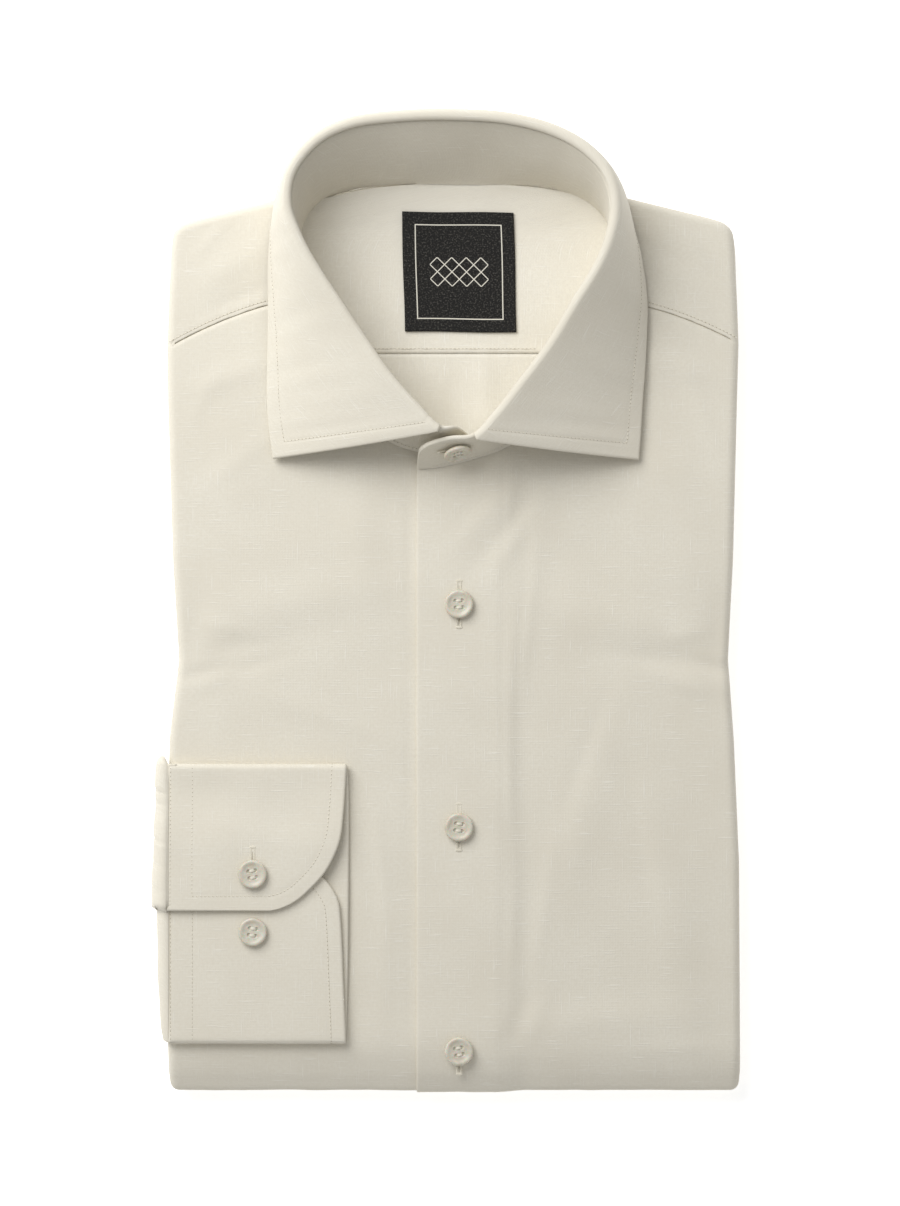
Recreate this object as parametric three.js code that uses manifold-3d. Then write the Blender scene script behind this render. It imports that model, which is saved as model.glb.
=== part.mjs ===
// Linen dress shirt, folded flat for the shelf: spread collar standing open, fronts buttoned on top,
// one sleeve brought round the left edge so that its barrel cuff lies on the front.
// Millimetres. +X to the viewer's right, +Y towards the collar, +Z up from the table.
import * as THREE from 'three';
import { mergeVertices } from 'three/addons/utils/BufferGeometryUtils.js';
import Module from 'manifold-3d';

const wasm = await Module();
wasm.setup();

// Cloth thicknesses and the space left at every seam
const SHELL = 1.5;            // front and yoke cloth
const BAND = 2.0;             // collar stand: two plies with interlining
const LEAF = 2.0;             // collar leaf
const CUFF = 1.9;             // cuff: two plies with interlining
const SLEEVE = 1.1;           // one ply of the sleeve
const LINING = 1.2;           // inner yoke and back panel
const SEAM = 0.3;             // space between two pieces at a seam

// The folded bundle
const TOP = 15.7;             // height of the front's outer face at the side edges
const FOLD_R = TOP / 2;       // radius of the bottom fold, right round the bundle
const EDGE_R = 3.35;          // radius of each layer's side fold
const EDGE_RETURN = 1.5;      // how far the side fold runs back in under its layer
const BOTTOM_Y = -197.2;      // lowest point of the bottom fold
const TAIL_Y = 143;           // where the folded-up tail ends, underneath
const UNDER_INSET = 1.2;      // how far the lower layer's edges stand back
const CROWN = 0.8;            // how much fuller the middle is than the edges
const CORNER_R = 14;          // corners of the hidden layers

// The front closing
const PLACKET_X = -11;        // free edge of the buttonhole front
const UNDERLAP_X = 20.5;      // hidden edge of the button front
const LAP_END = 26;           // where the buttonhole front is down to the common level again
const BUTTON_ROWS = [-1.8, -90.9, -180.4];
const BUTTON_X = 5.4;

// Buttons: 18 ligne, four holes
const BUTTON_D = 11.4;
const BUTTON_H = 2.5;
const HOLE_D = 1.4;
const HOLE_PITCH = 2.75;

// The cuff on the left front
const CUFF_LEFT = -110.4;
const CUFF_TOP_Y = -65.2;
const CUFF_BOTTOM_Y = -177.4;
const CUFF_FLAP_Y = -124.1;
const CUFF_UNDER_Y = -106;
const CUFF_GAP = 0.5;

// The sleeve's turn round the left edge
const TURN_X = -110.8;
const TURN_R = 5.15;          // half the height of the turn
const TURN_REACH = 2.35;      // how far the turn stands out at the side
const SLEEVE_TOP_Y = -65.6;
const SLEEVE_BOTTOM_Y = -177;

// Neck label, woven, left bare
const LABEL = { x: 5.6, y: 131.9, width: 46, height: 48, thickness: 1, turn: -0.012 };

const COLOURS = { linen: 0xe6e0d2, linenInside: 0xded7c6, button: 0xe9e4d6, label: 0x1d1c1b };

// Rows of a table as objects with named columns
function table(columns, rows) {
  return rows.map((row) => Object.fromEntries(columns.map((name, i) => [name, row[i]])));
}

// Side edges of the folded fronts, from the shoulder down
const SIDES = table(['y', 'left', 'right'], [
  [128, -110.5, 116.5],
  [102, -111.6, 117.5],
  [80, -111.3, 116.9],
  [16, -109.3, 115.3],
  [-24, -106.9, 113.3],
  [-56, -110.7, 115.6],
  [-105, -111.3, 117.7],
  [-178, -111.3, 118.1],
  [-198, -110.9, 118.3],
]);

// Shoulder outline from the left end of the front seam to the right one,
// each point with the place on the collar ring (station number) that it faces
const SHOULDER = table(['x', 'y', 'station'], [
  [-111.6, 100.5, 7.5],
  [-111.1, 114, 7.9],
  [-110.5, 128, 8.2],
  [-109.6, 143, 8.5],
  [-108.6, 147.3, 8.65],
  [-105.9, 150.1, 8.8],
  [-102, 151.6, 9],
  [-84, 156.2, 9.5],
  [-66, 160.9, 10.2],
  [-46, 165.9, 11.2],
  [-29.4, 169, 12.2],
  [3.8, 170.8, 14],
  [37.8, 169.2, 15.8],
  [54, 165.6, 16.8],
  [72, 161.1, 17.8],
  [92, 156.2, 18.5],
  [108, 152.2, 19],
  [111.8, 150.7, 19.2],
  [114.6, 147.9, 19.35],
  [115.7, 143.5, 19.5],
  [116.5, 128, 19.8],
  [117.1, 114, 20.1],
  [117.5, 102.3, 20.5],
]);

// Neck seam and upper edge of the collar stand, from the button end (which lies inside)
// round the back to the buttonhole end (which lies on top)
const COLLAR = table(['seamX', 'seamY', 'topX', 'topY', 'topZ'], [
  [9.5, 60.6, 8.5, 69.6, 38.5],
  [3.8, 59.2, 4.1, 68.6, 39],
  [-3.8, 58.8, -2, 68.2, 39.5],
  [-12.6, 60, -10.9, 76.6, 39.5],
  [-23.8, 64.6, -21.9, 89, 40],
  [-35.8, 76.6, -32.1, 103.5, 40.5],
  [-46.4, 92.6, -42, 118.3, 42],
  [-54.4, 111, -51.5, 132.7, 43.5],
  [-58.2, 131, -57.5, 144.2, 44.5],
  [-57.2, 149, -61, 155, 45],
  [-49.8, 159, -59.6, 166.8, 45],
  [-38.2, 164.2, -50.4, 178.8, 44.5],
  [-24.2, 166.2, -37.8, 185.4, 43.5],
  [-10.2, 166.6, -18, 188.4, 42.5],
  [3.8, 166.6, 3, 189, 42],
  [17.8, 166.6, 24.2, 187.5, 42.5],
  [31.8, 166.2, 42.4, 182.6, 43.5],
  [45.8, 163.8, 54.7, 175.4, 44.5],
  [57.4, 158.4, 62.4, 166.6, 45],
  [64.8, 149, 65.4, 155.4, 45],
  [65.6, 130.2, 63.9, 144.2, 44.5],
  [62.6, 110.2, 59.2, 132.2, 43.5],
  [55, 91.8, 50.3, 117.4, 42],
  [44.6, 77.2, 40.9, 101.7, 40.5],
  [32.2, 66.4, 29.2, 85.9, 40],
  [21.8, 60.4, 18.9, 72.8, 39.5],
  [12, 57.1, 11.2, 65, 39.5],
  [1.8, 54.4, 1.8, 63.9, 39],
  [-9.7, 52.4, -8.1, 61.6, 38],
]);
const LEAF_FROM = 2;          // station where the leaf starts on the button side
const LEAF_TO = 26;           // and where it ends on the buttonhole side

// Outer edge of the collar leaf, one row for each station that carries it
const LEAF_EDGE = table(['x', 'y', 'z'], [
  [-68.9, 56.1, 18.7],
  [-70.3, 66.9, 18.6],
  [-71.2, 77.7, 18.5],
  [-71.1, 89.7, 18.5],
  [-70.7, 103.7, 18.4],
  [-70.4, 117.7, 18.4],
  [-70.2, 134.8, 18.4],
  [-69, 147.6, 18.3],
  [-65.8, 160.5, 17],
  [-58.6, 173.4, 9],
  [-44.3, 183.8, 5],
  [-20.8, 189, 4],
  [3, 190, 3.5],
  [26.6, 188.8, 4],
  [48.6, 183.2, 5],
  [62.3, 173.4, 9],
  [70.6, 160.5, 17],
  [74.4, 148.4, 18.3],
  [78, 134.8, 18.4],
  [80.2, 117.7, 18.4],
  [80, 103.7, 18.4],
  [79.4, 89.7, 18.5],
  [78.6, 77.7, 18.5],
  [78, 66.9, 18.6],
  [77.2, 55.7, 18.7],
]);
const ROLL_R = 1.5;           // radius of the leaf's roll over the stand
const LEAF_SWELL = 1;         // how far the fall bows outward

// Soft folds of the fronts and yoke: centre, direction in degrees, half length, half width, height
const FOLDS = table(['x', 'y', 'angle', 'length', 'width', 'height'], [
  [-88, -20, 8, 26, 5, -0.5],
  [97, -22, -6, 24, 5, -0.5],
  [-62, -2, 12, 38, 9, 0.7],
  [66, -8, -10, 42, 9, 0.7],
  [34, 10, 84, 46, 6, 0.5],
  [-34, 28, 96, 40, 8, 0.5],
  [-90, 88, 20, 24, 5, 0.5],
  [96, 92, -16, 24, 5, 0.5],
  [52, -96, 74, 52, 9, 0.6],
  [90, -132, 98, 44, 9, 0.5],
  [-24, -140, 88, 36, 5, 0.4],
  [60, -168, 4, 40, 7, 0.5],
  [-70, -187, 2, 34, 4, 0.4],
  [92, 128, -34, 22, 6, 0.5],
  [-88, 132, 30, 22, 6, 0.5],
]);

const clamp = THREE.MathUtils.clamp;
const lerp = THREE.MathUtils.lerp;
const smooth = THREE.MathUtils.smoothstep;
const vec = (x, y, z) => new THREE.Vector3(x, y, z);
const range = (n) => Array.from({ length: n + 1 }, (_, i) => i / n);

// Straight-line reading of one column of a table whose rows are ordered in another
function read(rows, key, at, column) {
  const rising = rows[rows.length - 1][key] > rows[0][key];
  for (let i = 1; i < rows.length; i += 1) {
    const a = rows[i - 1];
    const b = rows[i];
    if (i === rows.length - 1 || (rising ? at <= b[key] : at >= b[key])) {
      const t = clamp((at - a[key]) / (b[key] - a[key]), 0, 1);
      return lerp(a[column], b[column], t);
    }
  }
  return rows[0][column];
}

const leftEdge = (y) => read(SIDES, 'y', y, 'left');
const rightEdge = (y) => read(SIDES, 'y', y, 'right');

// Smooth curves of the collar ring
const ring = (rows, x, y, z) => new THREE.CatmullRomCurve3(
  rows.map((row) => vec(row[x], row[y], z ? row[z] : 0)), false, 'centripetal');
const seamCurve = ring(COLLAR, 'seamX', 'seamY');
const topCurve = ring(COLLAR, 'topX', 'topY', 'topZ');
const edgeCurve = ring(LEAF_EDGE, 'x', 'y', 'z');
const lastStation = COLLAR.length - 1;
const seamAt = (station) => seamCurve.getPoint(station / lastStation);
const topAt = (station) => topCurve.getPoint(station / lastStation);
const edgeAt = (station) => edgeCurve.getPoint((station - LEAF_FROM) / (LEAF_TO - LEAF_FROM));

// Plan direction that points away from the neck
function outwardAt(curveAt, station) {
  const a = curveAt(Math.max(station - 0.3, 0));
  const b = curveAt(Math.min(station + 0.3, lastStation));
  return vec(a.y - b.y, b.x - a.x, 0).normalize();
}

// Outer face of the fronts and yoke before the buttonhole front's lap is added
function relief(x, y) {
  const across = clamp((2 * x - 6.5) / 228, -1, 1);
  let height = CROWN * (1 - across ** 2);
  for (const fold of FOLDS) {
    const a = THREE.MathUtils.degToRad(fold.angle);
    const dx = x - fold.x;
    const dy = y - fold.y;
    const along = (dx * Math.cos(a) + dy * Math.sin(a)) / fold.length;
    const beside = (dy * Math.cos(a) - dx * Math.sin(a)) / fold.width;
    height += fold.height * Math.exp(-(along ** 2) - beside ** 2);
  }
  const rim = Math.min(x - leftEdge(y), rightEdge(y) - x);
  const end = Math.min(y - BOTTOM_Y - FOLD_R, 166 - y);
  return height * smooth(rim, 3, 22) * smooth(end, 0, 18);
}
const face = (x, y) => TOP + relief(x, y);

// How far the buttonhole front is lifted by the button front under it
const lap = (x) => (SHELL + SEAM) * (1 - smooth(x, UNDERLAP_X + 0.8, LAP_END));
const topFace = (x, y) => face(x, y) + (x > PLACKET_X - 0.5 ? lap(x) : 0);

// Closed solid from matching outer and inner grids of points
function sheetSolid(outer, inner, wrap = false) {
  const rows = outer.length;
  const cols = outer[0].length;
  const points = [...outer.flat(), ...inner.flat()];
  const at = (side, i, j) => side * rows * cols + i * cols + (j % cols);
  const index = [];
  const quad = (a, b, c, d) => index.push(a, b, c, a, c, d);
  const lastCol = wrap ? cols : cols - 1;
  for (let i = 0; i < rows - 1; i += 1) {
    for (let j = 0; j < lastCol; j += 1) {
      quad(at(0, i, j), at(0, i + 1, j), at(0, i + 1, j + 1), at(0, i, j + 1));
      quad(at(1, i, j), at(1, i, j + 1), at(1, i + 1, j + 1), at(1, i + 1, j));
    }
    if (!wrap) {
      quad(at(0, i, 0), at(1, i, 0), at(1, i + 1, 0), at(0, i + 1, 0));
      quad(at(0, i + 1, cols - 1), at(1, i + 1, cols - 1), at(1, i, cols - 1), at(0, i, cols - 1));
    }
  }
  for (let j = 0; j < lastCol; j += 1) {
    quad(at(0, 0, j + 1), at(1, 0, j + 1), at(1, 0, j), at(0, 0, j));
    quad(at(0, rows - 1, j), at(1, rows - 1, j), at(1, rows - 1, j + 1), at(0, rows - 1, j + 1));
  }
  return outward(points, index);
}

// Closed solid from a stack of outlines with equal numbers of points
function loftSolid(rings) {
  const n = rings[0].length;
  const points = rings.flat();
  const index = [];
  for (let i = 0; i < rings.length - 1; i += 1) {
    for (let j = 0; j < n; j += 1) {
      const a = i * n + j;
      const b = i * n + ((j + 1) % n);
      index.push(a, b, b + n, a, b + n, a + n);
    }
  }
  const cap = (ringPoints) => THREE.ShapeUtils.triangulateShape(
    ringPoints.map((p) => new THREE.Vector2(p.x, p.y)), []);
  const last = (rings.length - 1) * n;
  cap(rings[0]).forEach(([a, b, c]) => index.push(a, c, b));
  cap(rings[rings.length - 1]).forEach(([a, b, c]) => index.push(last + a, last + b, last + c));
  return outward(points, index);
}

// Geometry with its faces turned outward
function outward(points, index) {
  let volume = 0;
  for (let i = 0; i < index.length; i += 3) {
    const [a, b, c] = [points[index[i]], points[index[i + 1]], points[index[i + 2]]];
    volume += a.dot(b.clone().cross(c));
  }
  const turned = volume < 0 ? index.slice().reverse() : index;
  const geometry = new THREE.BufferGeometry();
  geometry.setAttribute('position', new THREE.Float32BufferAttribute(points.flatMap((p) => p.toArray()), 3));
  geometry.setIndex(turned);
  geometry.computeVertexNormals();
  return geometry;
}

// Unit normals of a grid of points
function gridNormals(grid) {
  return grid.map((row, i) => row.map((_, j) => {
    const up = grid[Math.min(i + 1, grid.length - 1)][j].clone().sub(grid[Math.max(i - 1, 0)][j]);
    const along = row[Math.min(j + 1, row.length - 1)].clone().sub(row[Math.max(j - 1, 0)]);
    return up.cross(along).normalize();
  }));
}

// Wall with its middle on a grid of points
function wall(grid, thickness) {
  const normals = gridNormals(grid);
  const moved = (d) => grid.map((row, i) => row.map((p, j) => p.clone().addScaledVector(normals[i][j], d)));
  return sheetSolid(moved(thickness / 2), moved(-thickness / 2));
}

// Yoke seam on the front: bowed a little towards the collar
function yokeSeam(side, t) {
  const neck = seamAt(side < 0 ? 7.5 : 20.5);
  const rim = side < 0 ? SHOULDER[0] : SHOULDER[SHOULDER.length - 1];
  return vec(lerp(neck.x, rim.x, t), lerp(neck.y, rim.y, t) + 11 * t * (1 - t), 0);
}

// Upper edge of a front at x: neck seam near the middle, yoke seam beyond it
function frontTopY(side, x) {
  const neckFrom = side < 0 ? 7.5 : 20.5;
  const neckTo = side < 0 ? 0 : lastStation;
  const samples = range(40).map((t) => {
    const station = lerp(neckFrom, neckTo, t);
    const p = seamAt(station).addScaledVector(outwardAt(seamAt, station), -SHELL);
    return { x: p.x, y: p.y };
  });
  const yoke = range(12).reverse().map((t) => {
    const p = yokeSeam(side, t);
    return { x: p.x, y: p.y - SEAM };
  });
  const all = [...yoke, ...samples].filter((p, i, list) => i === 0 || (p.x - list[i - 1].x) * side < 0);
  return read(all, 'x', x, 'y');
}

// One front: from its upper edge down the top of the bundle, round the bottom fold and up underneath
function front(side) {
  const turnSteps = 7;
  const neckX = side < 0 ? -56.3 : 64;
  const inner = side < 0 ? UNDERLAP_X : PLACKET_X;
  const marks = side < 0
    ? [inner, 12, 2, PLACKET_X, -18, -28, -38, -47, -53, neckX - 1, -72, -90]
    : [inner, -2, 9, 20, 22.6, 25, 30, 40, 50, 58, 62.5, neckX + 1.4, 80, 98];
  const turns = range(5).map((t) => t * Math.PI);
  const outer = [];
  const inside = [];
  const row = (place) => {
    const outerRow = [];
    const innerRow = [];
    for (const mark of marks) {
      const [o, i] = place(mark, 0, false);
      outerRow.push(o);
      innerRow.push(i);
    }
    for (const turn of [...turns, Infinity]) {
      const [o, i] = place(null, Math.min(turn, Math.PI), turn === Infinity);
      outerRow.push(o);
      innerRow.push(i);
    }
    outer.push(outerRow);
    inside.push(innerRow);
  };
  // Side fold: x and depth below the outer face for the outer and inner faces of the cloth
  const sideFold = (edge, angle, returned) => {
    const back = returned ? EDGE_RETURN : 0;
    const centre = edge - side * EDGE_R;
    const r = EDGE_R - SHELL;
    return {
      outerX: centre + side * EDGE_R * Math.sin(angle) - side * back,
      outerDepth: EDGE_R * (1 - Math.cos(angle)),
      innerX: centre + side * r * Math.sin(angle) - side * back,
      innerDepth: EDGE_R - r * Math.cos(angle),
    };
  };
  const edge = side < 0 ? leftEdge : rightEdge;
  const lapAt = (x) => (side > 0 ? lap(x) : 0);
  const lowest = BOTTOM_Y + FOLD_R;
  // Round the fold and underneath, the button front stops short of the other one
  const shrunk = (mark) => (side < 0
    ? Math.min(mark, PLACKET_X - SEAM - 0.03 * (UNDERLAP_X - mark))
    : mark);
  for (const t of range(14)) {
    row((mark, angle, returned) => {
      const lined = (x) => {
        const from = frontTopY(side, x);
        return lerp(from, lowest, t);
      };
      if (mark !== null) {
        const shownX = t === 1 ? shrunk(mark) : mark;
        const y = lined(mark);
        const under = side > 0 && mark < LAP_END
          ? lerp(TOP - SHELL, face(mark, y) + SEAM, lapAt(mark) / (SHELL + SEAM))
          : TOP - SHELL;
        return [vec(shownX, y, face(mark, y) + lapAt(mark)), vec(shownX, y, under)];
      }
      const rim = side < 0 ? SHOULDER[0].x : SHOULDER[SHOULDER.length - 1].x;
      const y = lerp(frontTopY(side, rim), lowest, t);
      const f = sideFold(edge(y), angle, returned);
      return [vec(f.outerX, y, TOP - f.outerDepth), vec(f.innerX, y, TOP - f.innerDepth)];
    });
  }
  for (const t of range(turnSteps).slice(1)) {
    const a = t * Math.PI;
    const inset = side * UNDER_INSET * t;
    row((mark, angle, returned) => {
      const at = (x, depth) => vec(
        x, lowest - (FOLD_R - depth) * Math.sin(a), FOLD_R + (FOLD_R - depth) * Math.cos(a));
      if (mark !== null) {
        const lift = lapAt(mark) * (1 - t);
        return [at(shrunk(mark), -lift), at(shrunk(mark), SHELL - lift)];
      }
      const f = sideFold(edge(lowest) - inset, angle, returned);
      return [at(f.outerX, f.outerDepth), at(f.innerX, f.innerDepth)];
    });
  }
  for (const t of range(4).slice(1)) {
    const y = lerp(lowest, TAIL_Y, t);
    row((mark, angle, returned) => {
      if (mark !== null) return [vec(shrunk(mark), y, 0), vec(shrunk(mark), y, SHELL)];
      const f = sideFold(edge(y) - side * UNDER_INSET, angle, returned);
      return [vec(f.outerX, y, f.outerDepth), vec(f.innerX, y, f.innerDepth)];
    });
  }
  return sheetSolid(outer, inside);
}

// Yoke: from the neck seam out to the shoulder and side edges, and round them
function yoke() {
  const count = 44;
  const rim = new THREE.CatmullRomCurve3(
    SHOULDER.map((row) => vec(row.x, row.y, 0)), false, 'centripetal');
  const outer = [];
  const inner = [];
  for (const u of range(count)) {
    const place = u * (SHOULDER.length - 1);
    const k = Math.min(Math.floor(place), SHOULDER.length - 2);
    const station = lerp(SHOULDER[k].station, SHOULDER[k + 1].station, place - k);
    const neck = seamAt(station).addScaledVector(outwardAt(seamAt, station), -SHELL);
    const b = rim.getPoint(u);
    const ahead = rim.getPoint(Math.min(u + 0.01, 1));
    const behind = rim.getPoint(Math.max(u - 0.01, 0));
    const out = vec(behind.y - ahead.y, ahead.x - behind.x, 0).normalize();
    if (u === 0) out.set(-1, 0, 0);
    if (u === 1) out.set(1, 0, 0);
    const atSeam = u === 0 || u === 1;
    const start = b.clone().addScaledVector(out, -EDGE_R);
    const outerRow = [];
    const innerRow = [];
    for (const t of range(4)) {
      const p = neck.clone().lerp(start, t);
      if (atSeam) {
        const s = yokeSeam(u === 0 ? -1 : 1, clamp((p.x - neck.x) / (b.x - neck.x), 0, 1));
        p.y = Math.max(s.y + SEAM / 2, t === 0 ? neck.y : -Infinity);
      }
      outerRow.push(vec(p.x, p.y, face(p.x, p.y)));
      innerRow.push(vec(p.x, p.y, TOP - SHELL));
    }
    const seamLift = atSeam ? SEAM / 2 : 0;
    for (const t of range(5).slice(1)) {
      const a = t * Math.PI;
      const r = EDGE_R - SHELL;
      const o = start.clone().addScaledVector(out, EDGE_R * Math.sin(a));
      const i = start.clone().addScaledVector(out, r * Math.sin(a));
      outerRow.push(vec(o.x, o.y + seamLift, TOP - EDGE_R + EDGE_R * Math.cos(a)));
      innerRow.push(vec(i.x, i.y + seamLift, TOP - EDGE_R + r * Math.cos(a)));
    }
    outer.push(outerRow);
    inner.push(innerRow);
  }
  return sheetSolid(outer, inner);
}

// Whole outline of the bundle seen from above, corners well rounded, with its outward directions
function bodyOutline() {
  const sides = SIDES.filter((row) => row.y > BOTTOM_Y + 2 * CORNER_R && row.y < 140);
  const corners = [
    { x: leftEdge(BOTTOM_Y), y: BOTTOM_Y, r: CORNER_R },
    { x: 0, y: BOTTOM_Y - 0.3, r: 0 },
    { x: rightEdge(BOTTOM_Y), y: BOTTOM_Y, r: CORNER_R },
    ...sides.toReversed().map((row) => ({ x: row.right, y: row.y, r: 0 })),
    { x: 115.4, y: 151.3, r: CORNER_R },
    { x: 37.8, y: 169.2, r: CORNER_R },
    { x: 3.8, y: 170.8, r: 0 },
    { x: -29.4, y: 169, r: CORNER_R },
    { x: -109.3, y: 150.1, r: CORNER_R },
    ...sides.map((row) => ({ x: row.left, y: row.y, r: 0 })),
  ];
  const loop = corners.flatMap((corner, i) => {
    const at = vec(corner.x, corner.y, 0);
    if (!corner.r) return [at];
    const before = corners[(i + corners.length - 1) % corners.length];
    const after = corners[(i + 1) % corners.length];
    const toward = (other) => at.clone().addScaledVector(
      vec(other.x, other.y, 0).sub(at).normalize(), corner.r);
    return new THREE.QuadraticBezierCurve3(toward(before), at, toward(after)).getPoints(6);
  });
  return loop.map((p, i) => {
    const a = loop[(i + loop.length - 1) % loop.length];
    const b = loop[(i + 1) % loop.length];
    return { p, out: vec(b.y - a.y, a.x - b.x, 0).normalize() };
  });
}

// Hidden layers between the upper and lower cloth: a rounded stack whose middle plies show in the side groove
const STACK = table(['z', 'side', 'bottom', 'top'], [
  [1.8, 9.8, 9, 12],
  [2.8, 9.2, 8.2, 8.6],
  [6.75, 9.2, 7.9, 8.4],
  [6.95, 2.6, 7.9, 2.8],
  [7.7, 1.5, 7.9, 2.2],
  [7.85, 2.3, 7.9, 3.2],
  [8, 1.5, 7.9, 2.4],
  [8.7, 2.4, 7.9, 3.2],
  [8.9, 7.8, 7.9, 6.4],
  [12.5, 8.2, 9.4, 7.2],
]);

function foldedLayers() {
  const outline = bodyOutline();
  return loftSolid(STACK.map((level) => outline.map(({ p, out }) => vec(
    p.x - out.x * level.side,
    p.y - out.y * (out.y > 0 ? level.top : level.bottom),
    level.z))));
}

// Span of the outline, set in by a distance, at one height of the page
function spanAt(y, inset) {
  const loop = bodyOutline().map(({ p, out }) => p.clone().addScaledVector(out, -inset));
  const hits = [];
  loop.forEach((a, i) => {
    const b = loop[(i + 1) % loop.length];
    if ((a.y - y) * (b.y - y) <= 0 && a.y !== b.y) hits.push(lerp(a.x, b.x, (y - a.y) / (b.y - a.y)));
  });
  return [Math.min(...hits), Math.max(...hits)];
}

// Soft vertical pleat in the back, seen inside the neck
function innerRelief(x, y) {
  const window = smooth(y, 62, 74) * (1 - smooth(y, 86, 105)) * (1 - smooth(Math.abs(x - 5), 16, 30));
  const pleat = Math.exp(-(((x - 16) / 6) ** 2)) - 0.3 * Math.exp(-(((x - 3) / 5) ** 2));
  return 0.9 * window * pleat;
}

// Flat inner panel between two heights of the page, of even cloth
function innerPanel(fromY, toY, rows, cols) {
  const base = TOP - SHELL - 0.2;
  const grid = (drop) => range(rows).map((t) => {
    const y = lerp(fromY, toY, t);
    const [x0, x1] = spanAt(y, 3.6);
    return range(cols).map((s) => {
      const x = lerp(x0, x1, s);
      return vec(x, y, base - drop + innerRelief(x, y));
    });
  });
  return sheetSolid(grid(0), grid(LINING));
}

// Collar stand: a ribbon on the neck seam, its buttonhole end lapped over its button end
function collarStand() {
  const grid = range(56).map((u) => {
    const station = u * lastStation;
    const seam = seamAt(station);
    const top = topAt(station);
    const out = outwardAt(seamAt, station);
    seam.z = 0.8 + Math.max(...[-1.4, 0, 1.4].map((d) => topFace(seam.x + out.x * d, seam.y + out.y * d)));
    const endRound = Math.min(u * 56, (1 - u) * 56);
    const low = endRound < 1 ? 0.35 : endRound < 2 ? 0.1 : 0;
    const high = endRound < 1 ? 0.6 : endRound < 2 ? 0.88 : endRound < 3 ? 0.97 : 1;
    return range(3).map((v) => {
      const t = lerp(low * 0.4, high, v);
      const p = seam.clone().lerp(top, t);
      const bow = (station > 8 && station < 20 ? 0.9 : 0.5) * Math.sin(Math.PI * t);
      return p.addScaledVector(outwardAt(topAt, station), -bow);
    });
  });
  return wall(grid, BAND);
}

// Collar leaf: rolls over the stand and falls to its own edge
function collarLeaf() {
  const arcSteps = 4;
  const fallSteps = 5;
  const grid = range(44).map((u) => {
    const station = lerp(LEAF_FROM, LEAF_TO, u);
    const top = topAt(station).add(vec(0, 0, SEAM + 0.8));
    const out = outwardAt(topAt, station);
    const beside = vec(-out.y, out.x, 0);
    const edge = edgeAt(station);
    const reach = edge.clone().sub(top);
    const o = reach.dot(out) - ROLL_R;
    const across = reach.dot(beside);
    const distance = Math.hypot(o, reach.z);
    const leave = Math.atan2(reach.z, o) + Math.acos(clamp(ROLL_R / distance, -1, 1));
    const place = (outAmount, z, slide) => top.clone()
      .addScaledVector(out, outAmount)
      .addScaledVector(beside, slide)
      .add(vec(0, 0, z));
    const arc = range(arcSteps).map((t) => {
      const a = lerp(Math.PI, leave, t);
      return place(ROLL_R + ROLL_R * Math.cos(a), ROLL_R * Math.sin(a), 0);
    });
    const from = { o: ROLL_R + ROLL_R * Math.cos(leave), z: ROLL_R * Math.sin(leave) };
    const fall = range(fallSteps).slice(1).map((t) => {
      const swell = LEAF_SWELL * Math.sin(Math.PI * t);
      return place(
        lerp(from.o, o + ROLL_R, t) + swell * Math.cos(leave),
        lerp(from.z, reach.z, t) + swell * Math.sin(leave),
        across * t);
    });
    return [...arc, ...fall];
  });
  return wall(grid, LEAF);
}

// Right-hand end of the cuff along its lap, first under the flap and last on top
const CUFF_END = table(['lap', 'x'], [
  [0, -56],
  [0.0245, -47.9],
  [0.0568, -43],
  [0.081, -42],
  [0.192, -40.7],
  [0.287, -39.8],
  [0.3746, -39.2],
  [0.4637, -38.8],
  [0.7255, -38.8],
  [0.7657, -39.5],
  [0.8362, -40.6],
  [0.8806, -41.9],
  [0.9113, -44.6],
  [0.9378, -48.3],
  [0.9602, -53.1],
  [0.982, -59],
  [0.9946, -64.8],
  [1, -70.1],
]);

// Cuff: one strip wound from under the flap, round the lower edge, back, and over the upper edge
function cuff() {
  const back = TOP + SEAM + CUFF / 2 + 0.15;
  const under = back + CUFF + CUFF_GAP;
  const over = under + CUFF + SEAM + 0.1;
  const lowR = (under - back) / 2;
  const highR = (under + 0.3 - back) / 2;
  const path = [];
  for (const t of range(9)) path.push([lerp(CUFF_UNDER_Y, CUFF_BOTTOM_Y + CUFF / 2 + lowR, t ** 1.8), under]);
  for (const t of range(4).slice(1)) {
    const a = t * Math.PI;
    path.push([CUFF_BOTTOM_Y + CUFF / 2 + lowR - lowR * Math.sin(a), back + lowR + lowR * Math.cos(a)]);
  }
  for (const t of range(8).slice(1)) path.push([lerp(CUFF_BOTTOM_Y + CUFF / 2 + lowR, CUFF_TOP_Y - 2.6, t), back]);
  for (const t of range(4).slice(1)) {
    const a = t * Math.PI;
    path.push([CUFF_TOP_Y - 2.6 + highR * Math.sin(a), back + highR - highR * Math.cos(a)]);
  }
  for (const t of range(12).slice(1)) {
    const y = lerp(CUFF_TOP_Y - 2.6, CUFF_FLAP_Y, 1 - (1 - t) ** 1.6);
    path.push([y, lerp(under + 0.3, over, smooth(-y, -CUFF_TOP_Y + 8, -CUFF_UNDER_Y - 6))]);
  }
  const lengths = path.map((p, i) => (i ? Math.hypot(p[0] - path[i - 1][0], p[1] - path[i - 1][1]) : 0));
  const total = lengths.reduce((a, b) => a + b, 0);
  let run = 0;
  const grid = path.map(([y, z], i) => {
    run += lengths[i];
    const right = read(CUFF_END, 'lap', run / total, 'x');
    const left = CUFF_LEFT - 0.9 * smooth(run / total, 0.8, 0.95);
    return range(7).map((s) => {
      const x = lerp(left, right, s);
      return vec(x, y, z + relief(x, y));
    });
  });
  return wall(grid, CUFF);
}

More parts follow.
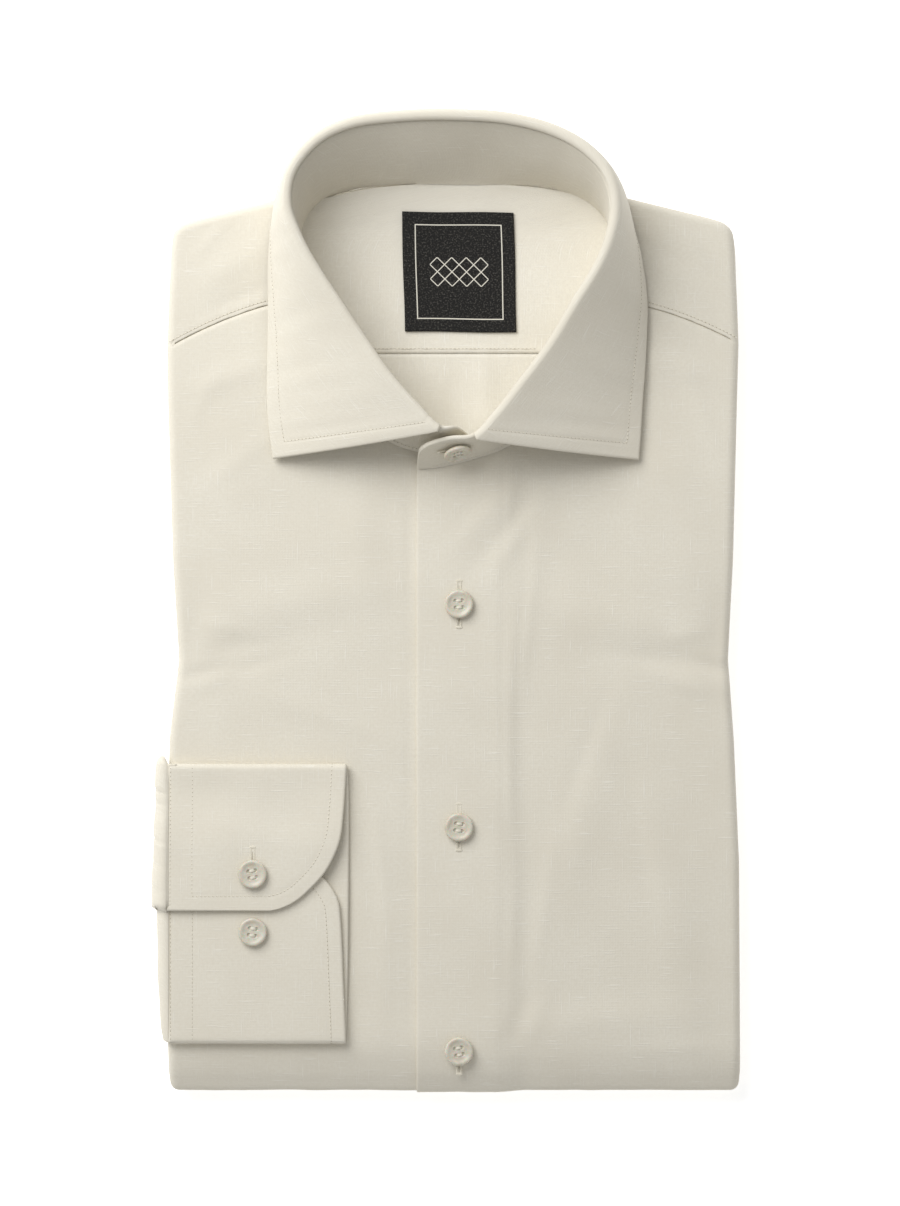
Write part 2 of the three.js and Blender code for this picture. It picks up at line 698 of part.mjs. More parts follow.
// Sleeve: a flattened tube that comes out of the side groove and turns up to the cuff
function sleeve() {
  const around = 18;
  const outer = [];
  const inner = [];
  for (const t of range(10)) {
    const a = Math.PI * (0.5 + t);
    const centreX = TURN_X + TURN_REACH * Math.cos(a) * (1 + 0.1 * Math.sin(Math.PI * t));
    const centreZ = 12.85 - TURN_R * Math.sin(a);
    const startX = t === 0 ? 0.6 : 0;
    const normal = vec(Math.cos(a), 0, -Math.sin(a));
    const thick = lerp(3, 5.4, smooth(t, 0.3, 1));
    const middle = (SLEEVE_TOP_Y + SLEEVE_BOTTOM_Y) / 2;
    const half = (SLEEVE_TOP_Y - SLEEVE_BOTTOM_Y) / 2 - 3 * (1 - t);
    const ringOf = (inset) => range(around).slice(0, around).map((s) => {
      const b = s * 2 * Math.PI;
      const y = middle + (half - inset) * Math.sign(Math.cos(b)) * Math.abs(Math.cos(b)) ** 0.35;
      const h = (thick / 2 - inset) * Math.sign(Math.sin(b)) * Math.abs(Math.sin(b)) ** 0.55;
      const puff = 0.9 * Math.cos((y - middle) / half * 1.4) * Math.sin(Math.PI * t);
      return vec(centreX + startX, y, centreZ).addScaledVector(normal, h + puff);
    });
    outer.push(ringOf(0));
    inner.push(ringOf(SLEEVE));
  }
  return sheetSolid(outer, inner, true);
}

// Four-hole button with a raised rim, its underside on the plane z = 0
function button() {
  const r = BUTTON_D / 2;
  const profile = [
    [0, 0], [r - 1.4, 0], [r, 1.3], [r - 0.4, 2.3], [r - 1, BUTTON_H], [r - 1.9, 2], [0, 1.8],
  ].map(([x, y]) => new THREE.Vector2(x, y));
  const body = new THREE.LatheGeometry(profile, 22).rotateX(Math.PI / 2);
  let solid = manifoldOf(body);
  for (const sx of [-1, 1]) {
    for (const sy of [-1, 1]) {
      const drill = new THREE.CylinderGeometry(HOLE_D / 2, HOLE_D / 2, 6, 6).rotateX(Math.PI / 2);
      drill.translate(sx * HOLE_PITCH / 2, sy * HOLE_PITCH / 2, 1);
      solid = solid.subtract(manifoldOf(drill));
    }
  }
  return geometryOf(solid);
}

function manifoldOf(geometry) {
  const bare = geometry.clone();
  bare.deleteAttribute('normal');
  bare.deleteAttribute('uv');
  const merged = mergeVertices(bare, 1e-4);
  return new wasm.Manifold(new wasm.Mesh({
    numProp: 3,
    vertProperties: new Float32Array(merged.attributes.position.array),
    triVerts: new Uint32Array(merged.index.array),
  }));
}

function geometryOf(solid) {
  const mesh = solid.getMesh();
  const geometry = new THREE.BufferGeometry();
  geometry.setAttribute('position', new THREE.Float32BufferAttribute(mesh.vertProperties, 3));
  geometry.setIndex(Array.from(mesh.triVerts));
  geometry.computeVertexNormals();
  return geometry;
}

const material = (color, roughness) => new THREE.MeshStandardMaterial({ color, roughness, metalness: 0 });
const linen = () => material(COLOURS.linen, 0.9);
const inside = () => material(COLOURS.linenInside, 0.9);

const group = new THREE.Group();
function add(name, geometry, look) {
  const mesh = new THREE.Mesh(geometry, look);
  mesh.name = name;
  group.add(mesh);
  return mesh;
}

add('folded_layers', foldedLayers(), inside());
add('front_button_side', front(-1), linen());
add('front_buttonhole_side', front(1), linen());
add('yoke_outer', yoke(), linen());
add('yoke_inner', innerPanel(98.5, 166.4, 12, 14), inside());
add('back_panel', innerPanel(98.2, -185, 14, 14), inside());
add('collar_stand', collarStand(), linen());
add('collar_leaf', collarLeaf(), linen());
add('cuff', cuff(), linen());
add('sleeve', sleeve(), linen());

const label = add('neck_label', new THREE.BoxGeometry(LABEL.width, LABEL.height, LABEL.thickness),
  material(COLOURS.label, 0.8));
label.position.set(LABEL.x, LABEL.y, TOP - SHELL - 0.2 + SEAM + LABEL.thickness / 2);
label.rotation.z = LABEL.turn;

// Buttons lie on the cloth: down the front, on the collar stand's lap, and on the cuff
const buttonShape = button();
BUTTON_ROWS.forEach((y, i) => {
  const seat = Math.max(...[-4, 0, 4].flatMap((dx) => [-4, 0, 4].map((dy) => topFace(BUTTON_X + dx, y + dy))));
  const placed = add(`front_button_${i + 1}`, buttonShape, material(COLOURS.button, 0.35));
  placed.position.set(BUTTON_X, y, seat + SEAM);
});

const collarButton = add('collar_button', buttonShape, material(COLOURS.button, 0.35));
const lapStation = 26.75;
const lapSeam = seamAt(lapStation).setZ(18.4);
const lapTop = topAt(lapStation);
const lapUp = lapTop.clone().sub(lapSeam).normalize();
const lapAcross = seamAt(27.2).sub(seamAt(26.3)).setZ(0).normalize();
const lapOut = lapUp.clone().cross(lapAcross).normalize();
if (lapOut.y > 0) lapOut.negate();
collarButton.quaternion.setFromRotationMatrix(
  new THREE.Matrix4().makeBasis(lapUp.clone().cross(lapOut), lapUp, lapOut));
collarButton.position.copy(lapSeam.clone().lerp(lapTop, 0.58)).addScaledVector(lapOut, BAND / 2 + 0.35);

[[-109.3, 23.4], [-132.5, 21]].forEach(([y, z], i) => {
  const placed = add(`cuff_button_${i + 1}`, buttonShape, material(COLOURS.button, 0.35));
  placed.position.set(-76.8, y, z);
});

// The origin is the middle of the whole part on the table
const box = new THREE.Box3().setFromObject(group);
const centre = box.getCenter(new THREE.Vector3());
group.position.set(-centre.x, -centre.y, -box.min.z);
group.updateMatrixWorld(true);

export default group;
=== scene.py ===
"""Linen dress shirt, folded flat: cloth shells, stitching and buttons on the frame's solids.

Sizes below are in millimetres on the pattern's own axes: +X to the viewer's right, +Y towards the collar,
+Z up from the table. to_frame moves them by SHIFT and turns them into the frame's metres.
"""

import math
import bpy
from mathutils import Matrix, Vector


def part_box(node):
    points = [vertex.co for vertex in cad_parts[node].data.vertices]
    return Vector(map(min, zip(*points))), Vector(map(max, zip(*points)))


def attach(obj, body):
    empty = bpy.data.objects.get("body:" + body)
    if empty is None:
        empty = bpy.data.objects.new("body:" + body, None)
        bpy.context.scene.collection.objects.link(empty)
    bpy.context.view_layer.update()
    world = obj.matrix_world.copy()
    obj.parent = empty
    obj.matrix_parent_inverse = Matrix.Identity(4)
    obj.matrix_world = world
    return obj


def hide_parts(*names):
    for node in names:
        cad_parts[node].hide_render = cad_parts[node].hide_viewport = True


bl_info = {
    "name": "Folded linen shirt",
    "version": (1, 0, 0),
    "blender": (4, 5, 0),
    "location": "3D View > Sidebar > Shirt",
    "description": "Builds a folded linen dress shirt piece by piece: cloth, seams, stitching and buttons",
    "category": "Add Mesh",
}

import bpy
import numpy as np
from bpy.props import FloatProperty, PointerProperty, StringProperty
from bpy.types import Operator, Panel, PropertyGroup

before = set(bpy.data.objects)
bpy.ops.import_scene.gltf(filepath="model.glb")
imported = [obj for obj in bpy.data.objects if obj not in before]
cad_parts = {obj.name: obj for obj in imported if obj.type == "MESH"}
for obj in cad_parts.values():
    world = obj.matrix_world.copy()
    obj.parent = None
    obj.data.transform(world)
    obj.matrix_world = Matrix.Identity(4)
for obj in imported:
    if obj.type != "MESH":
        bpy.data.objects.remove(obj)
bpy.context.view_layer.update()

# Sizes shared with the frame's solids, in millimetres
TOP = 15.7
FOLD_R = TOP / 2
EDGE_R = 3.35
EDGE_RETURN = 1.5
BOTTOM_Y = -197.2
TAIL_Y = 143.0
UNDER_INSET = 1.2
CROWN = 0.8
SHELL = 1.5
SEAM = 0.3
PLACKET_X = -11.0
UNDERLAP_X = 20.5
YOKE_STATION = {-1: 7.5, 1: 20.5}
YOKE_BOW = 11
DROOP, DROOP_REACH = 5.5, 20
SIDES_SUM, SIDES_WIDTH = 6.5, 228
PANEL_TOP = TOP - SHELL - 0.2
LEAF_FROM, LEAF_TO, LAST_STATION = 2, 26, 28
ROLL_R = 1.5
LEAF_SWELL = 1.0
CUFF_LEFT, CUFF_TOP_Y, CUFF_BOTTOM_Y = -110.4, -65.2, -177.4
CUFF_FLAP_Y, CUFF_UNDER_Y = -124.1, -106.0
TURN_X, TURN_R, TURN_REACH = -110.8, 5.15, 2.35
SLEEVE_TOP_Y, SLEEVE_BOTTOM_Y = -65.6, -177.0
FRONT_BUTTONS = [(5.4, -1.8), (5.4, -90.9), (5.4, -180.4)]
CUFF_BUTTONS = [(-76.8, -109.3), (-76.8, -132.5)]
CUFF_BUTTON_Z = (23.4, 21.0)
CUFF_HOLE_Y = -106.0
FRONT_TURNS = (0.05, -0.12, 0.2)
LEAF_INSET = 6.2
CUFF_INSET = 5.8
LABEL = {"x": 5.5, "y": 131.1, "width": 44.8, "height": 48.0, "lean": -0.024, "fall": -0.01}


def frame_shift():
    """Where the pattern's origin lies in the frame, in millimetres: read from the buttonhole front's box."""
    low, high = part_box("front_buttonhole_side")
    return np.array([low[0] * 1000 - PLACKET_X, high[1] * 1000 - TAIL_Y, 0.0])


SHIFT = frame_shift()


def table(columns, rows):
    """Rows of numbers as one array for each named column."""
    return dict(zip(columns, np.array(rows, float).T))


SIDES = table(("y", "left", "right"), [
    (-198, -110.9, 118.3),
    (-178, -111.3, 118.1),
    (-105, -111.3, 117.7),
    (-56, -110.7, 115.6),
    (-24, -106.9, 113.3),
    (16, -109.3, 115.3),
    (80, -111.3, 116.9),
    (102, -111.6, 117.5),
    (128, -110.5, 116.5),
])

SHOULDER = table(("x", "y", "station"), [
    (-111.6, 100.5, 7.5),
    (-111.1, 114, 7.9),
    (-110.5, 128, 8.2),
    (-109.6, 143, 8.5),
    (-108.6, 147.3, 8.65),
    (-105.9, 150.1, 8.8),
    (-102, 151.6, 9),
    (-84, 156.2, 9.5),
    (-66, 160.9, 10.2),
    (-46, 165.9, 11.2),
    (-29.4, 169, 12.2),
    (3.8, 170.8, 14),
    (37.8, 169.2, 15.8),
    (54, 165.6, 16.8),
    (72, 161.1, 17.8),
    (92, 156.2, 18.5),
    (108, 152.2, 19),
    (111.8, 150.7, 19.2),
    (114.6, 147.9, 19.35),
    (115.7, 143.5, 19.5),
    (116.5, 128, 19.8),
    (117.1, 114, 20.1),
    (117.5, 102.3, 20.5),
])

COLLAR = table(("seam_x", "seam_y", "top_x", "top_y", "top_z"), [
    (9.5, 60.6, 8.5, 69.6, 38.5),
    (3.8, 59.2, 4.1, 68.6, 39),
    (-3.8, 58.8, -2, 68.2, 39.5),
    (-12.6, 60, -10.9, 76.6, 39.5),
    (-23.8, 64.6, -21.9, 89, 40),
    (-35.8, 76.6, -32.1, 103.5, 40.5),
    (-46.4, 92.6, -42, 118.3, 42),
    (-54.4, 111, -51.5, 132.7, 43.5),
    (-58.2, 131, -57.5, 144.2, 44.5),
    (-57.2, 149, -61, 155, 45),
    (-49.8, 159, -59.6, 166.8, 45),
    (-38.2, 164.2, -50.4, 178.8, 44.5),
    (-24.2, 166.2, -37.8, 185.4, 43.5),
    (-10.2, 166.6, -18, 188.4, 42.5),
    (3.8, 166.6, 3, 189, 42),
    (17.8, 166.6, 24.2, 187.5, 42.5),
    (31.8, 166.2, 42.4, 182.6, 43.5),
    (45.8, 163.8, 54.7, 175.4, 44.5),
    (57.4, 158.4, 62.4, 166.6, 45),
    (64.8, 149, 65.4, 155.4, 45),
    (65.6, 130.2, 63.9, 144.2, 44.5),
    (62.6, 110.2, 59.2, 132.2, 43.5),
    (55, 91.8, 50.3, 117.4, 42),
    (44.6, 77.2, 40.9, 101.7, 40.5),
    (32.2, 66.4, 29.2, 85.9, 40),
    (21.8, 60.4, 18.9, 72.8, 39.5),
    (12, 57.1, 11.2, 65, 39.5),
    (1.8, 54.4, 1.8, 63.9, 39),
    (-9.7, 52.4, -8.1, 61.6, 38),
])

LEAF_EDGE = table(("x", "y", "z"), [
    (-68.9, 56.1, 18.7),
    (-70.3, 66.9, 18.6),
    (-71.2, 77.7, 18.5),
    (-71.1, 89.7, 18.5),
    (-70.7, 103.7, 18.4),
    (-70.4, 117.7, 18.4),
    (-70.2, 134.8, 18.4),
    (-69, 147.6, 18.3),
    (-65.8, 160.5, 17),
    (-58.6, 173.4, 9),
    (-44.3, 183.8, 5),
    (-20.8, 189, 4),
    (3, 190, 3.5),
    (26.6, 188.8, 4),
    (48.6, 183.2, 5),
    (62.3, 173.4, 9),
    (70.6, 160.5, 17),
    (74.4, 148.4, 18.3),
    (78, 134.8, 18.4),
    (80.2, 117.7, 18.4),
    (80, 103.7, 18.4),
    (79.4, 89.7, 18.5),
    (78.6, 77.7, 18.5),
    (78, 66.9, 18.6),
    (77.2, 55.7, 18.7),
])

# Broad folds of the fronts and yoke, shared with the solids: centre, direction in degrees, half length,
# half width, height
FOLDS = table(("x", "y", "angle", "length", "width", "height"), [
    (-88, -20, 8, 26, 5, -0.5),
    (97, -22, -6, 24, 5, -0.5),
    (-62, -2, 12, 38, 9, 0.7),
    (66, -8, -10, 42, 9, 0.7),
    (34, 10, 84, 46, 6, 0.5),
    (-34, 28, 96, 40, 8, 0.5),
    (-90, 88, 20, 24, 5, 0.5),
    (96, 92, -16, 24, 5, 0.5),
    (52, -96, 74, 52, 9, 0.6),
    (90, -132, 98, 44, 9, 0.5),
    (-24, -140, 88, 36, 5, 0.4),
    (60, -168, 4, 40, 7, 0.5),
    (-70, -187, 2, 34, 4, 0.4),
    (92, 128, -34, 22, 6, 0.5),
    (-88, 132, 30, 22, 6, 0.5),
])

# Smaller creases, placed one by one
CREASES = table(("x", "y", "angle", "length", "width", "height"), [
    (-97, -34, 24, 15, 2.6, 0.45),
    (-92, -10, -12, 17, 3.2, 0.35),
    (-80, -27, 14, 20, 3.0, -0.4),
    (104, -12, 14, 14, 2.8, 0.4),
    (99, -36, -22, 16, 3.0, 0.35),
    (88, -25, -8, 22, 3.2, -0.35),
    (-101, 74, 62, 18, 3.4, 0.35),
    (-80, 58, 38, 24, 4.5, 0.3),
    (106, 70, -64, 19, 3.4, 0.35),
    (86, 52, -40, 26, 4.5, 0.3),
    (26, 44, 86, 16, 2.2, 0.3),
    (27, -22, 88, 26, 2.4, 0.35),
    (25.6, -74, 92, 20, 2.0, 0.3),
    (27, -130, 88, 24, 2.2, 0.3),
    (-14.5, 20, 90, 30, 1.8, -0.25),
    (-14.5, -60, 90, 36, 1.8, -0.2),
    (-14, -150, 90, 30, 1.8, -0.2),
    (56, -60, 70, 26, 4.0, -0.3),
    (40, -120, 82, 30, 3.4, 0.3),
    (78, -100, 100, 28, 4.0, -0.25),
    (-50, -46, 160, 24, 4.0, 0.3),
    (-26, -104, 96, 20, 2.6, 0.3),
    (100, 140, -50, 12, 2.4, 0.35),
    (84, 140, -24, 16, 2.8, -0.25),
    (-96, 142, 48, 12, 2.4, 0.35),
    (-84, 120, 24, 16, 2.8, -0.25),
    (-60, -184, 2, 26, 2.2, 0.3),
    (30, -184, -3, 24, 2.2, 0.3),
    (92, -180, 4, 20, 2.4, 0.3),
    (22, 26, 51, 19, 4.2, -0.5),
    (13, 31, 48, 15, 4.0, 0.35),
    (28, 24, 62, 14, 3.6, 0.3),
    (28, -171, 70, 13, 4.4, -0.45),
    (36, -168, 72, 15, 4.0, 0.3),
    (29, -40, 92, 34, 2.6, -0.25),
    (33, -12, 84, 24, 2.2, 0.25),
])

# Dents where the side folds are pulled in, deepest at the fold itself
DENTS = table(("x", "y", "angle", "length", "width", "height"), [
    (112, -10, 80, 22, 7, -0.7),
    (108, -27, -14, 13, 2.6, -0.55),
    (108, -35, -10, 14, 4, 0.35),
    (-104, -20, 76, 20, 6, -0.5),
    (-101, -30, 16, 12, 2.6, -0.4),
])


def smoothstep(x, a, b):
    """0 below a, 1 above b, and the usual cubic between them."""
    t = np.clip((x - a) / (b - a), 0.0, 1.0)
    return t * t * (3 - 2 * t)


def through(points, t):
    """Centripetal Catmull-Rom curve through rows of points, read at t from 0 to 1 by row number."""
    points = np.asarray(points, float)
    padded = np.vstack([2 * points[0] - points[1], points, 2 * points[-1] - points[-2]])
    place = np.clip(np.asarray(t, float), 0, 1) * (len(points) - 1)
    k = np.minimum(place.astype(int), len(points) - 2)
    w = (place - k)[..., None]
    p0, p1, p2, p3 = (padded[k + i] for i in range(4))
    step = lambda a, b: np.maximum(np.sum((b - a) ** 2, -1, keepdims=True), 1e-12) ** 0.25
    d0, d1, d2 = step(p0, p1), step(p1, p2), step(p2, p3)
    t1 = ((p1 - p0) / d0 - (p2 - p0) / (d0 + d1) + (p2 - p1) / d1) * d1
    t2 = ((p2 - p1) / d1 - (p3 - p1) / (d1 + d2) + (p3 - p2) / d2) * d1
    return p1 + t1 * w + (-3 * p1 + 3 * p2 - 2 * t1 - t2) * w**2 + (2 * p1 - 2 * p2 + t1 + t2) * w**3


SEAM_RING = np.column_stack([COLLAR["seam_x"], COLLAR["seam_y"], np.zeros(LAST_STATION + 1)])
TOP_RING = np.column_stack([COLLAR["top_x"], COLLAR["top_y"], COLLAR["top_z"]])
EDGE_RING = np.column_stack([LEAF_EDGE["x"], LEAF_EDGE["y"], LEAF_EDGE["z"]])
RIM = np.column_stack([SHOULDER["x"], SHOULDER["y"], np.zeros(len(SHOULDER["x"]))])


def seam_at(station):
    """Neck seam at a station of the collar ring."""
    return through(SEAM_RING, np.asarray(station, float) / LAST_STATION)


def foot_at(station):
    """Foot of the collar stand: the neck seam, set 1.6 mm outward at the back."""
    back = smoothstep(station, 8, 10) * (1 - smoothstep(station, 18.5, 20))
    return seam_at(station) + away_from_neck(seam_at, station) * (1.6 * back)[..., None]


def top_at(station):
    """Upper edge of the collar stand at a station."""
    return through(TOP_RING, np.asarray(station, float) / LAST_STATION)


def edge_at(station):
    """Outer edge of the collar leaf at a station."""
    return through(EDGE_RING, (np.asarray(station, float) - LEAF_FROM) / (LEAF_TO - LEAF_FROM))


def away_from_neck(ring_at, station):
    """Level direction square to a ring, away from the neck."""
    station = np.asarray(station, float)
    a = ring_at(np.maximum(station - 0.3, 0))
    b = ring_at(np.minimum(station + 0.3, LAST_STATION))
    out = np.stack([a[..., 1] - b[..., 1], b[..., 0] - a[..., 0], np.zeros(a.shape[:-1])], -1)
    return out / np.linalg.norm(out, axis=-1, keepdims=True)


def left_edge(y):
    """Left side fold of the bundle."""
    return np.interp(y, SIDES["y"], SIDES["left"])


def right_edge(y):
    """Right side fold of the bundle."""
    return np.interp(y, SIDES["y"], SIDES["right"])


def swell(rows, x, y):
    """Sum of soft ridges and troughs: each a bell across its width and along its length."""
    a = np.radians(rows["angle"])
    dx = x[..., None] - rows["x"]
    dy = y[..., None] - rows["y"]
    along = (dx * np.cos(a) + dy * np.sin(a)) / rows["length"]
    beside = (dy * np.cos(a) - dx * np.sin(a)) / rows["width"]
    return np.sum(rows["height"] * np.exp(-(along**2) - beside**2), -1)


RIPPLE = np.random.default_rng(11)
RIPPLE_ANGLE = RIPPLE.uniform(0, np.pi, 18)
RIPPLE_LENGTH = RIPPLE.uniform(14, 70, 18)
RIPPLE_PHASE = RIPPLE.uniform(0, 2 * np.pi, 18)


def ripple(x, y):
    """Slight unevenness of laid cloth: waves of 14 to 70 mm in many directions, about 0.1 mm high."""
    place = (x[..., None] * np.cos(RIPPLE_ANGLE) + y[..., None] * np.sin(RIPPLE_ANGLE)) / RIPPLE_LENGTH
    return np.sum(np.sin(2 * np.pi * place + RIPPLE_PHASE) * RIPPLE_LENGTH / 50, -1) * 0.035


def droop(y):
    """Soft fall of the cloth towards the bottom fold: it grows with the square of the distance over the last
    20 mm."""
    return DROOP * (np.clip(BOTTOM_Y + DROOP_REACH - y, 0, DROOP_REACH) / DROOP_REACH) ** 2


def relief(x, y, fine=True):
    """Height of the outer face above TOP: a crown across, broad folds, then the small creases, the dents at
    the side folds and the fall to the bottom fold."""
    x, y = np.broadcast_arrays(np.asarray(x, float), np.asarray(y, float))
    across = np.clip((2 * x - SIDES_SUM) / SIDES_WIDTH, -1, 1)
    height = CROWN * (1 - across**2) + swell(FOLDS, x, y)
    if fine:
        height = height + swell(CREASES, x, y) + ripple(x, y)
    rim = np.minimum(x - left_edge(y), right_edge(y) - x)
    end = np.minimum(y - BOTTOM_Y - FOLD_R, 166 - y)
    height = height * smoothstep(rim, 3, 22) * smoothstep(end, 0, 18)
    return height + swell(DENTS, x, y) - droop(y) if fine else height


def lap(x):
    """Lift of the buttonhole front where the button front lies under it: a thin line at the hidden edge, then
    a soft fall over 12 mm."""
    x = np.asarray(x, float)
    return 1.25 * (1 - smoothstep(x, 21.5, 34)) + 0.2 * (1 - smoothstep(x, 21.1, 22.1))


def top_face(x, y):
    """Height of the cloth that is seen from above at a place on the front."""
    x = np.asarray(x, float)
    return TOP + relief(x, y) + np.where(x > PLACKET_X - 0.5, lap(x), 0)


def yoke_seam(side, t):
    """Seam between yoke and front, from the neck (t = 0) to the side fold (t = 1), bowed to the collar."""
    neck = seam_at(YOKE_STATION[side])
    rim = RIM[0 if side < 0 else -1]
    t = np.asarray(t, float)[..., None]
    line = neck + (rim - neck) * t
    line[..., 1] += YOKE_BOW * (t * (1 - t))[..., 0]
    return line


def front_top(side, x):
    """Upper edge of a front at x: the neck seam near the middle and the yoke seam beyond it."""
    stations = np.linspace(YOKE_STATION[side], 0 if side < 0 else LAST_STATION, 120)
    neck = seam_at(stations) - SHELL * away_from_neck(seam_at, stations)
    yoke = yoke_seam(side, np.linspace(1, 0, 40))
    yoke[:, 1] -= SEAM
    line = np.vstack([yoke, neck])
    order = line[:, 0] * -side
    keep = np.concatenate([[True], order[1:] > np.maximum.accumulate(order)[:-1] + 1e-6])
    line = line[keep]
    line = line[np.argsort(line[:, 0])]
    return np.interp(x, line[:, 0], line[:, 1])


def bell(x, width):
    """1 at 0, falling off smoothly on both sides."""
    return np.exp(-((x / width) ** 2))


def normals_of(points):
    """Unit normals of a grid of points, from its two directions."""
    n = np.cross(np.gradient(points, axis=0), np.gradient(points, axis=1))
    return n / np.maximum(np.linalg.norm(n, axis=-1, keepdims=True), 1e-9)


def run_lengths(points, axis):
    """Distance along a grid from its first row or column."""
    steps = np.linalg.norm(np.diff(points, axis=axis), axis=-1)
    zero = np.zeros_like(np.take(steps, [0], axis=axis))
    return np.cumsum(np.concatenate([zero, steps], axis=axis), axis=axis)


def read_grid(points, i, j):
    """Point of a grid at fractional row i and column j."""
    i = np.clip(i, 0, points.shape[0] - 1.001)
    j = np.clip(j, 0, points.shape[1] - 1.001)
    a, b = i.astype(int), j.astype(int)
    u, v = (i - a)[:, None], (j - b)[:, None]
    low = points[a, b] * (1 - v) + points[a, b + 1] * v
    high = points[a + 1, b] * (1 - v) + points[a + 1, b + 1] * v
    return low * (1 - u) + high * u


def ply():
    """Thickness of one ply of the linen, in millimetres."""
    return bpy.context.scene.shirt_sizes.ply * 1000


def two_ply():
    """Thickness of the faced pieces with their interlining, in millimetres."""
    return bpy.context.scene.shirt_sizes.faced * 1000


def to_frame(points):
    """Pattern millimetres to metres in the frame."""
    return (np.asarray(points, float) + SHIFT) / 1000


def mesh_object(name, vertices, faces, uv=None):
    """One piece: a mesh in the frame's metres that rides on the part, with a UV map if one is given."""
    mesh = bpy.data.meshes.new(name)
    faces = np.asarray(faces)
    mesh.vertices.add(len(vertices))
    mesh.vertices.foreach_set("co", np.asarray(vertices, np.float32).ravel())
    size = faces.shape[1]
    mesh.loops.add(faces.size)
    mesh.loops.foreach_set("vertex_index", faces.ravel().astype(np.int32))
    mesh.polygons.add(len(faces))
    mesh.polygons.foreach_set("loop_start", np.arange(0, faces.size, size, dtype=np.int32))
    if uv is not None:
        layer = mesh.uv_layers.new(name="cloth")
        layer.data.foreach_set("uv", np.asarray(uv, np.float32)[faces.ravel()].ravel())
    mesh.update(calc_edges=True)
    mesh.validate()
    mesh.polygons.foreach_set("use_smooth", np.ones(len(mesh.polygons), bool))
    piece = bpy.data.objects.new(name, mesh)
    bpy.context.scene.collection.objects.link(piece)
    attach(piece, "root")
    return piece


def grid_faces(rows, cols, wrap=False, turned=False):
    """Four-sided faces of a grid, as an array of vertex numbers; wrap joins the last column to the first."""
    i, j = np.meshgrid(np.arange(rows - 1), np.arange(cols if wrap else cols - 1), indexing="ij")
    i, j = i.ravel(), j.ravel()
    k = (j + 1) % cols
    faces = np.stack([i * cols + j, (i + 1) * cols + j, (i + 1) * cols + k, i * cols + k], -1)
    return faces[:, ::-1] if turned else faces


def cloth(name, points, material, thickness, facing, uv=None, wrap=False, soft_edge=0.0):
    """Cloth shell on a grid of points, thickened inward. facing gives a row, a column and the direction in
    which the outer face looks there."""
    rows, cols = points.shape[:2]
    middle = normals_of(points)[facing[0], facing[1]]
    turned = float(np.dot(middle, facing[2])) < 0
    if uv is None:
        uv = np.stack([run_lengths(points, 0), run_lengths(points, 1)], -1)
    piece = mesh_object(name, to_frame(points.reshape(-1, 3)), grid_faces(rows, cols, wrap, turned),
                        uv.reshape(-1, 2) / 1000)
    piece.data.materials.append(material)
    shell = piece.modifiers.new("cloth thickness", "SOLIDIFY")
    shell.thickness = thickness / 1000
    shell.offset = -1.0
    shell.use_even_offset = False
    if soft_edge:
        bevel = piece.modifiers.new("turned edge", "BEVEL")
        bevel.width = soft_edge / 1000
        bevel.segments = 2
        bevel.limit_method = "ANGLE"
        bevel.angle_limit = math.radians(50)
    return piece


def bars(start, end, up, radius, rise):
    """Many short threads: each a spindle from start to end that rises in the middle, six-sided, closed at
    both ends. All of them are worked out at once."""
    along = end - start
    side = np.cross(up, along)
    side /= np.maximum(np.linalg.norm(side, axis=1, keepdims=True), 1e-9)
    t = np.array([0.12, 0.5, 0.88])
    width = np.array([0.8, 1.0, 0.8])
    lift = np.array([0.35, 1.0, 0.35])
    a = np.arange(6) * np.pi / 3
    middle = start[:, None] + along[:, None] * t[:, None] + up[:, None] * (rise * lift)[:, None]
    ring = (side[:, None, None] * np.cos(a)[:, None] + up[:, None, None] * np.sin(a)[:, None])
    rings = middle[:, :, None] + ring * (radius * width)[None, :, None, None]
    count = len(start)
    vertices = np.concatenate([start[:, None], rings.reshape(count, 18, 3), end[:, None]], 1)
    k = np.arange(6)
    n = (k + 1) % 6
    first = np.stack([np.zeros(6, int), 1 + k, 1 + n], -1)
    last = np.stack([np.full(6, 19), 13 + n, 13 + k], -1)
    quads = np.concatenate([np.stack([1 + 6 * r + k, 7 + 6 * r + k, 7 + 6 * r + n, 1 + 6 * r + n], -1)
                            for r in (0, 1)])
    triangles = np.concatenate([first, last, quads[:, [0, 1, 2]], quads[:, [0, 2, 3]]])
    # faces outward: the ring turns from side to up, seen along the thread
    faces = (triangles[None, :, ::-1] + 20 * np.arange(count)[:, None, None]).reshape(-1, 3)
    return vertices.reshape(-1, 3), faces


def stitch_line(path, up, pitch, length, radius, rise, first=0.4):
    """Stitches of one length, one pitch apart, laid along a path of points with its up directions."""
    s = run_lengths(path, 0)
    starts = np.arange(first, s[-1] - length, pitch)
    at = lambda d, rows: np.column_stack([np.interp(d, s, rows[:, c]) for c in range(3)])
    return bars(at(starts, path), at(starts + length, path), at(starts + length / 2, up), radius, rise)


def joined(parts):
    """Several vertex and face arrays as one."""
    counts = np.cumsum([0] + [len(v) for v, _ in parts[:-1]])
    return (np.concatenate([v for v, _ in parts]),
            np.concatenate([f + c for (_, f), c in zip(parts, counts)]))


# Materials


def linear(text):
    """sRGB hex colour to linear numbers with full alpha."""
    values = np.array([int(text[i:i + 2], 16) / 255 for i in (1, 3, 5)])
    values = np.where(values <= 0.04045, values / 12.92, ((values + 0.055) / 1.055) ** 2.4)
    return (*values.tolist(), 1.0)


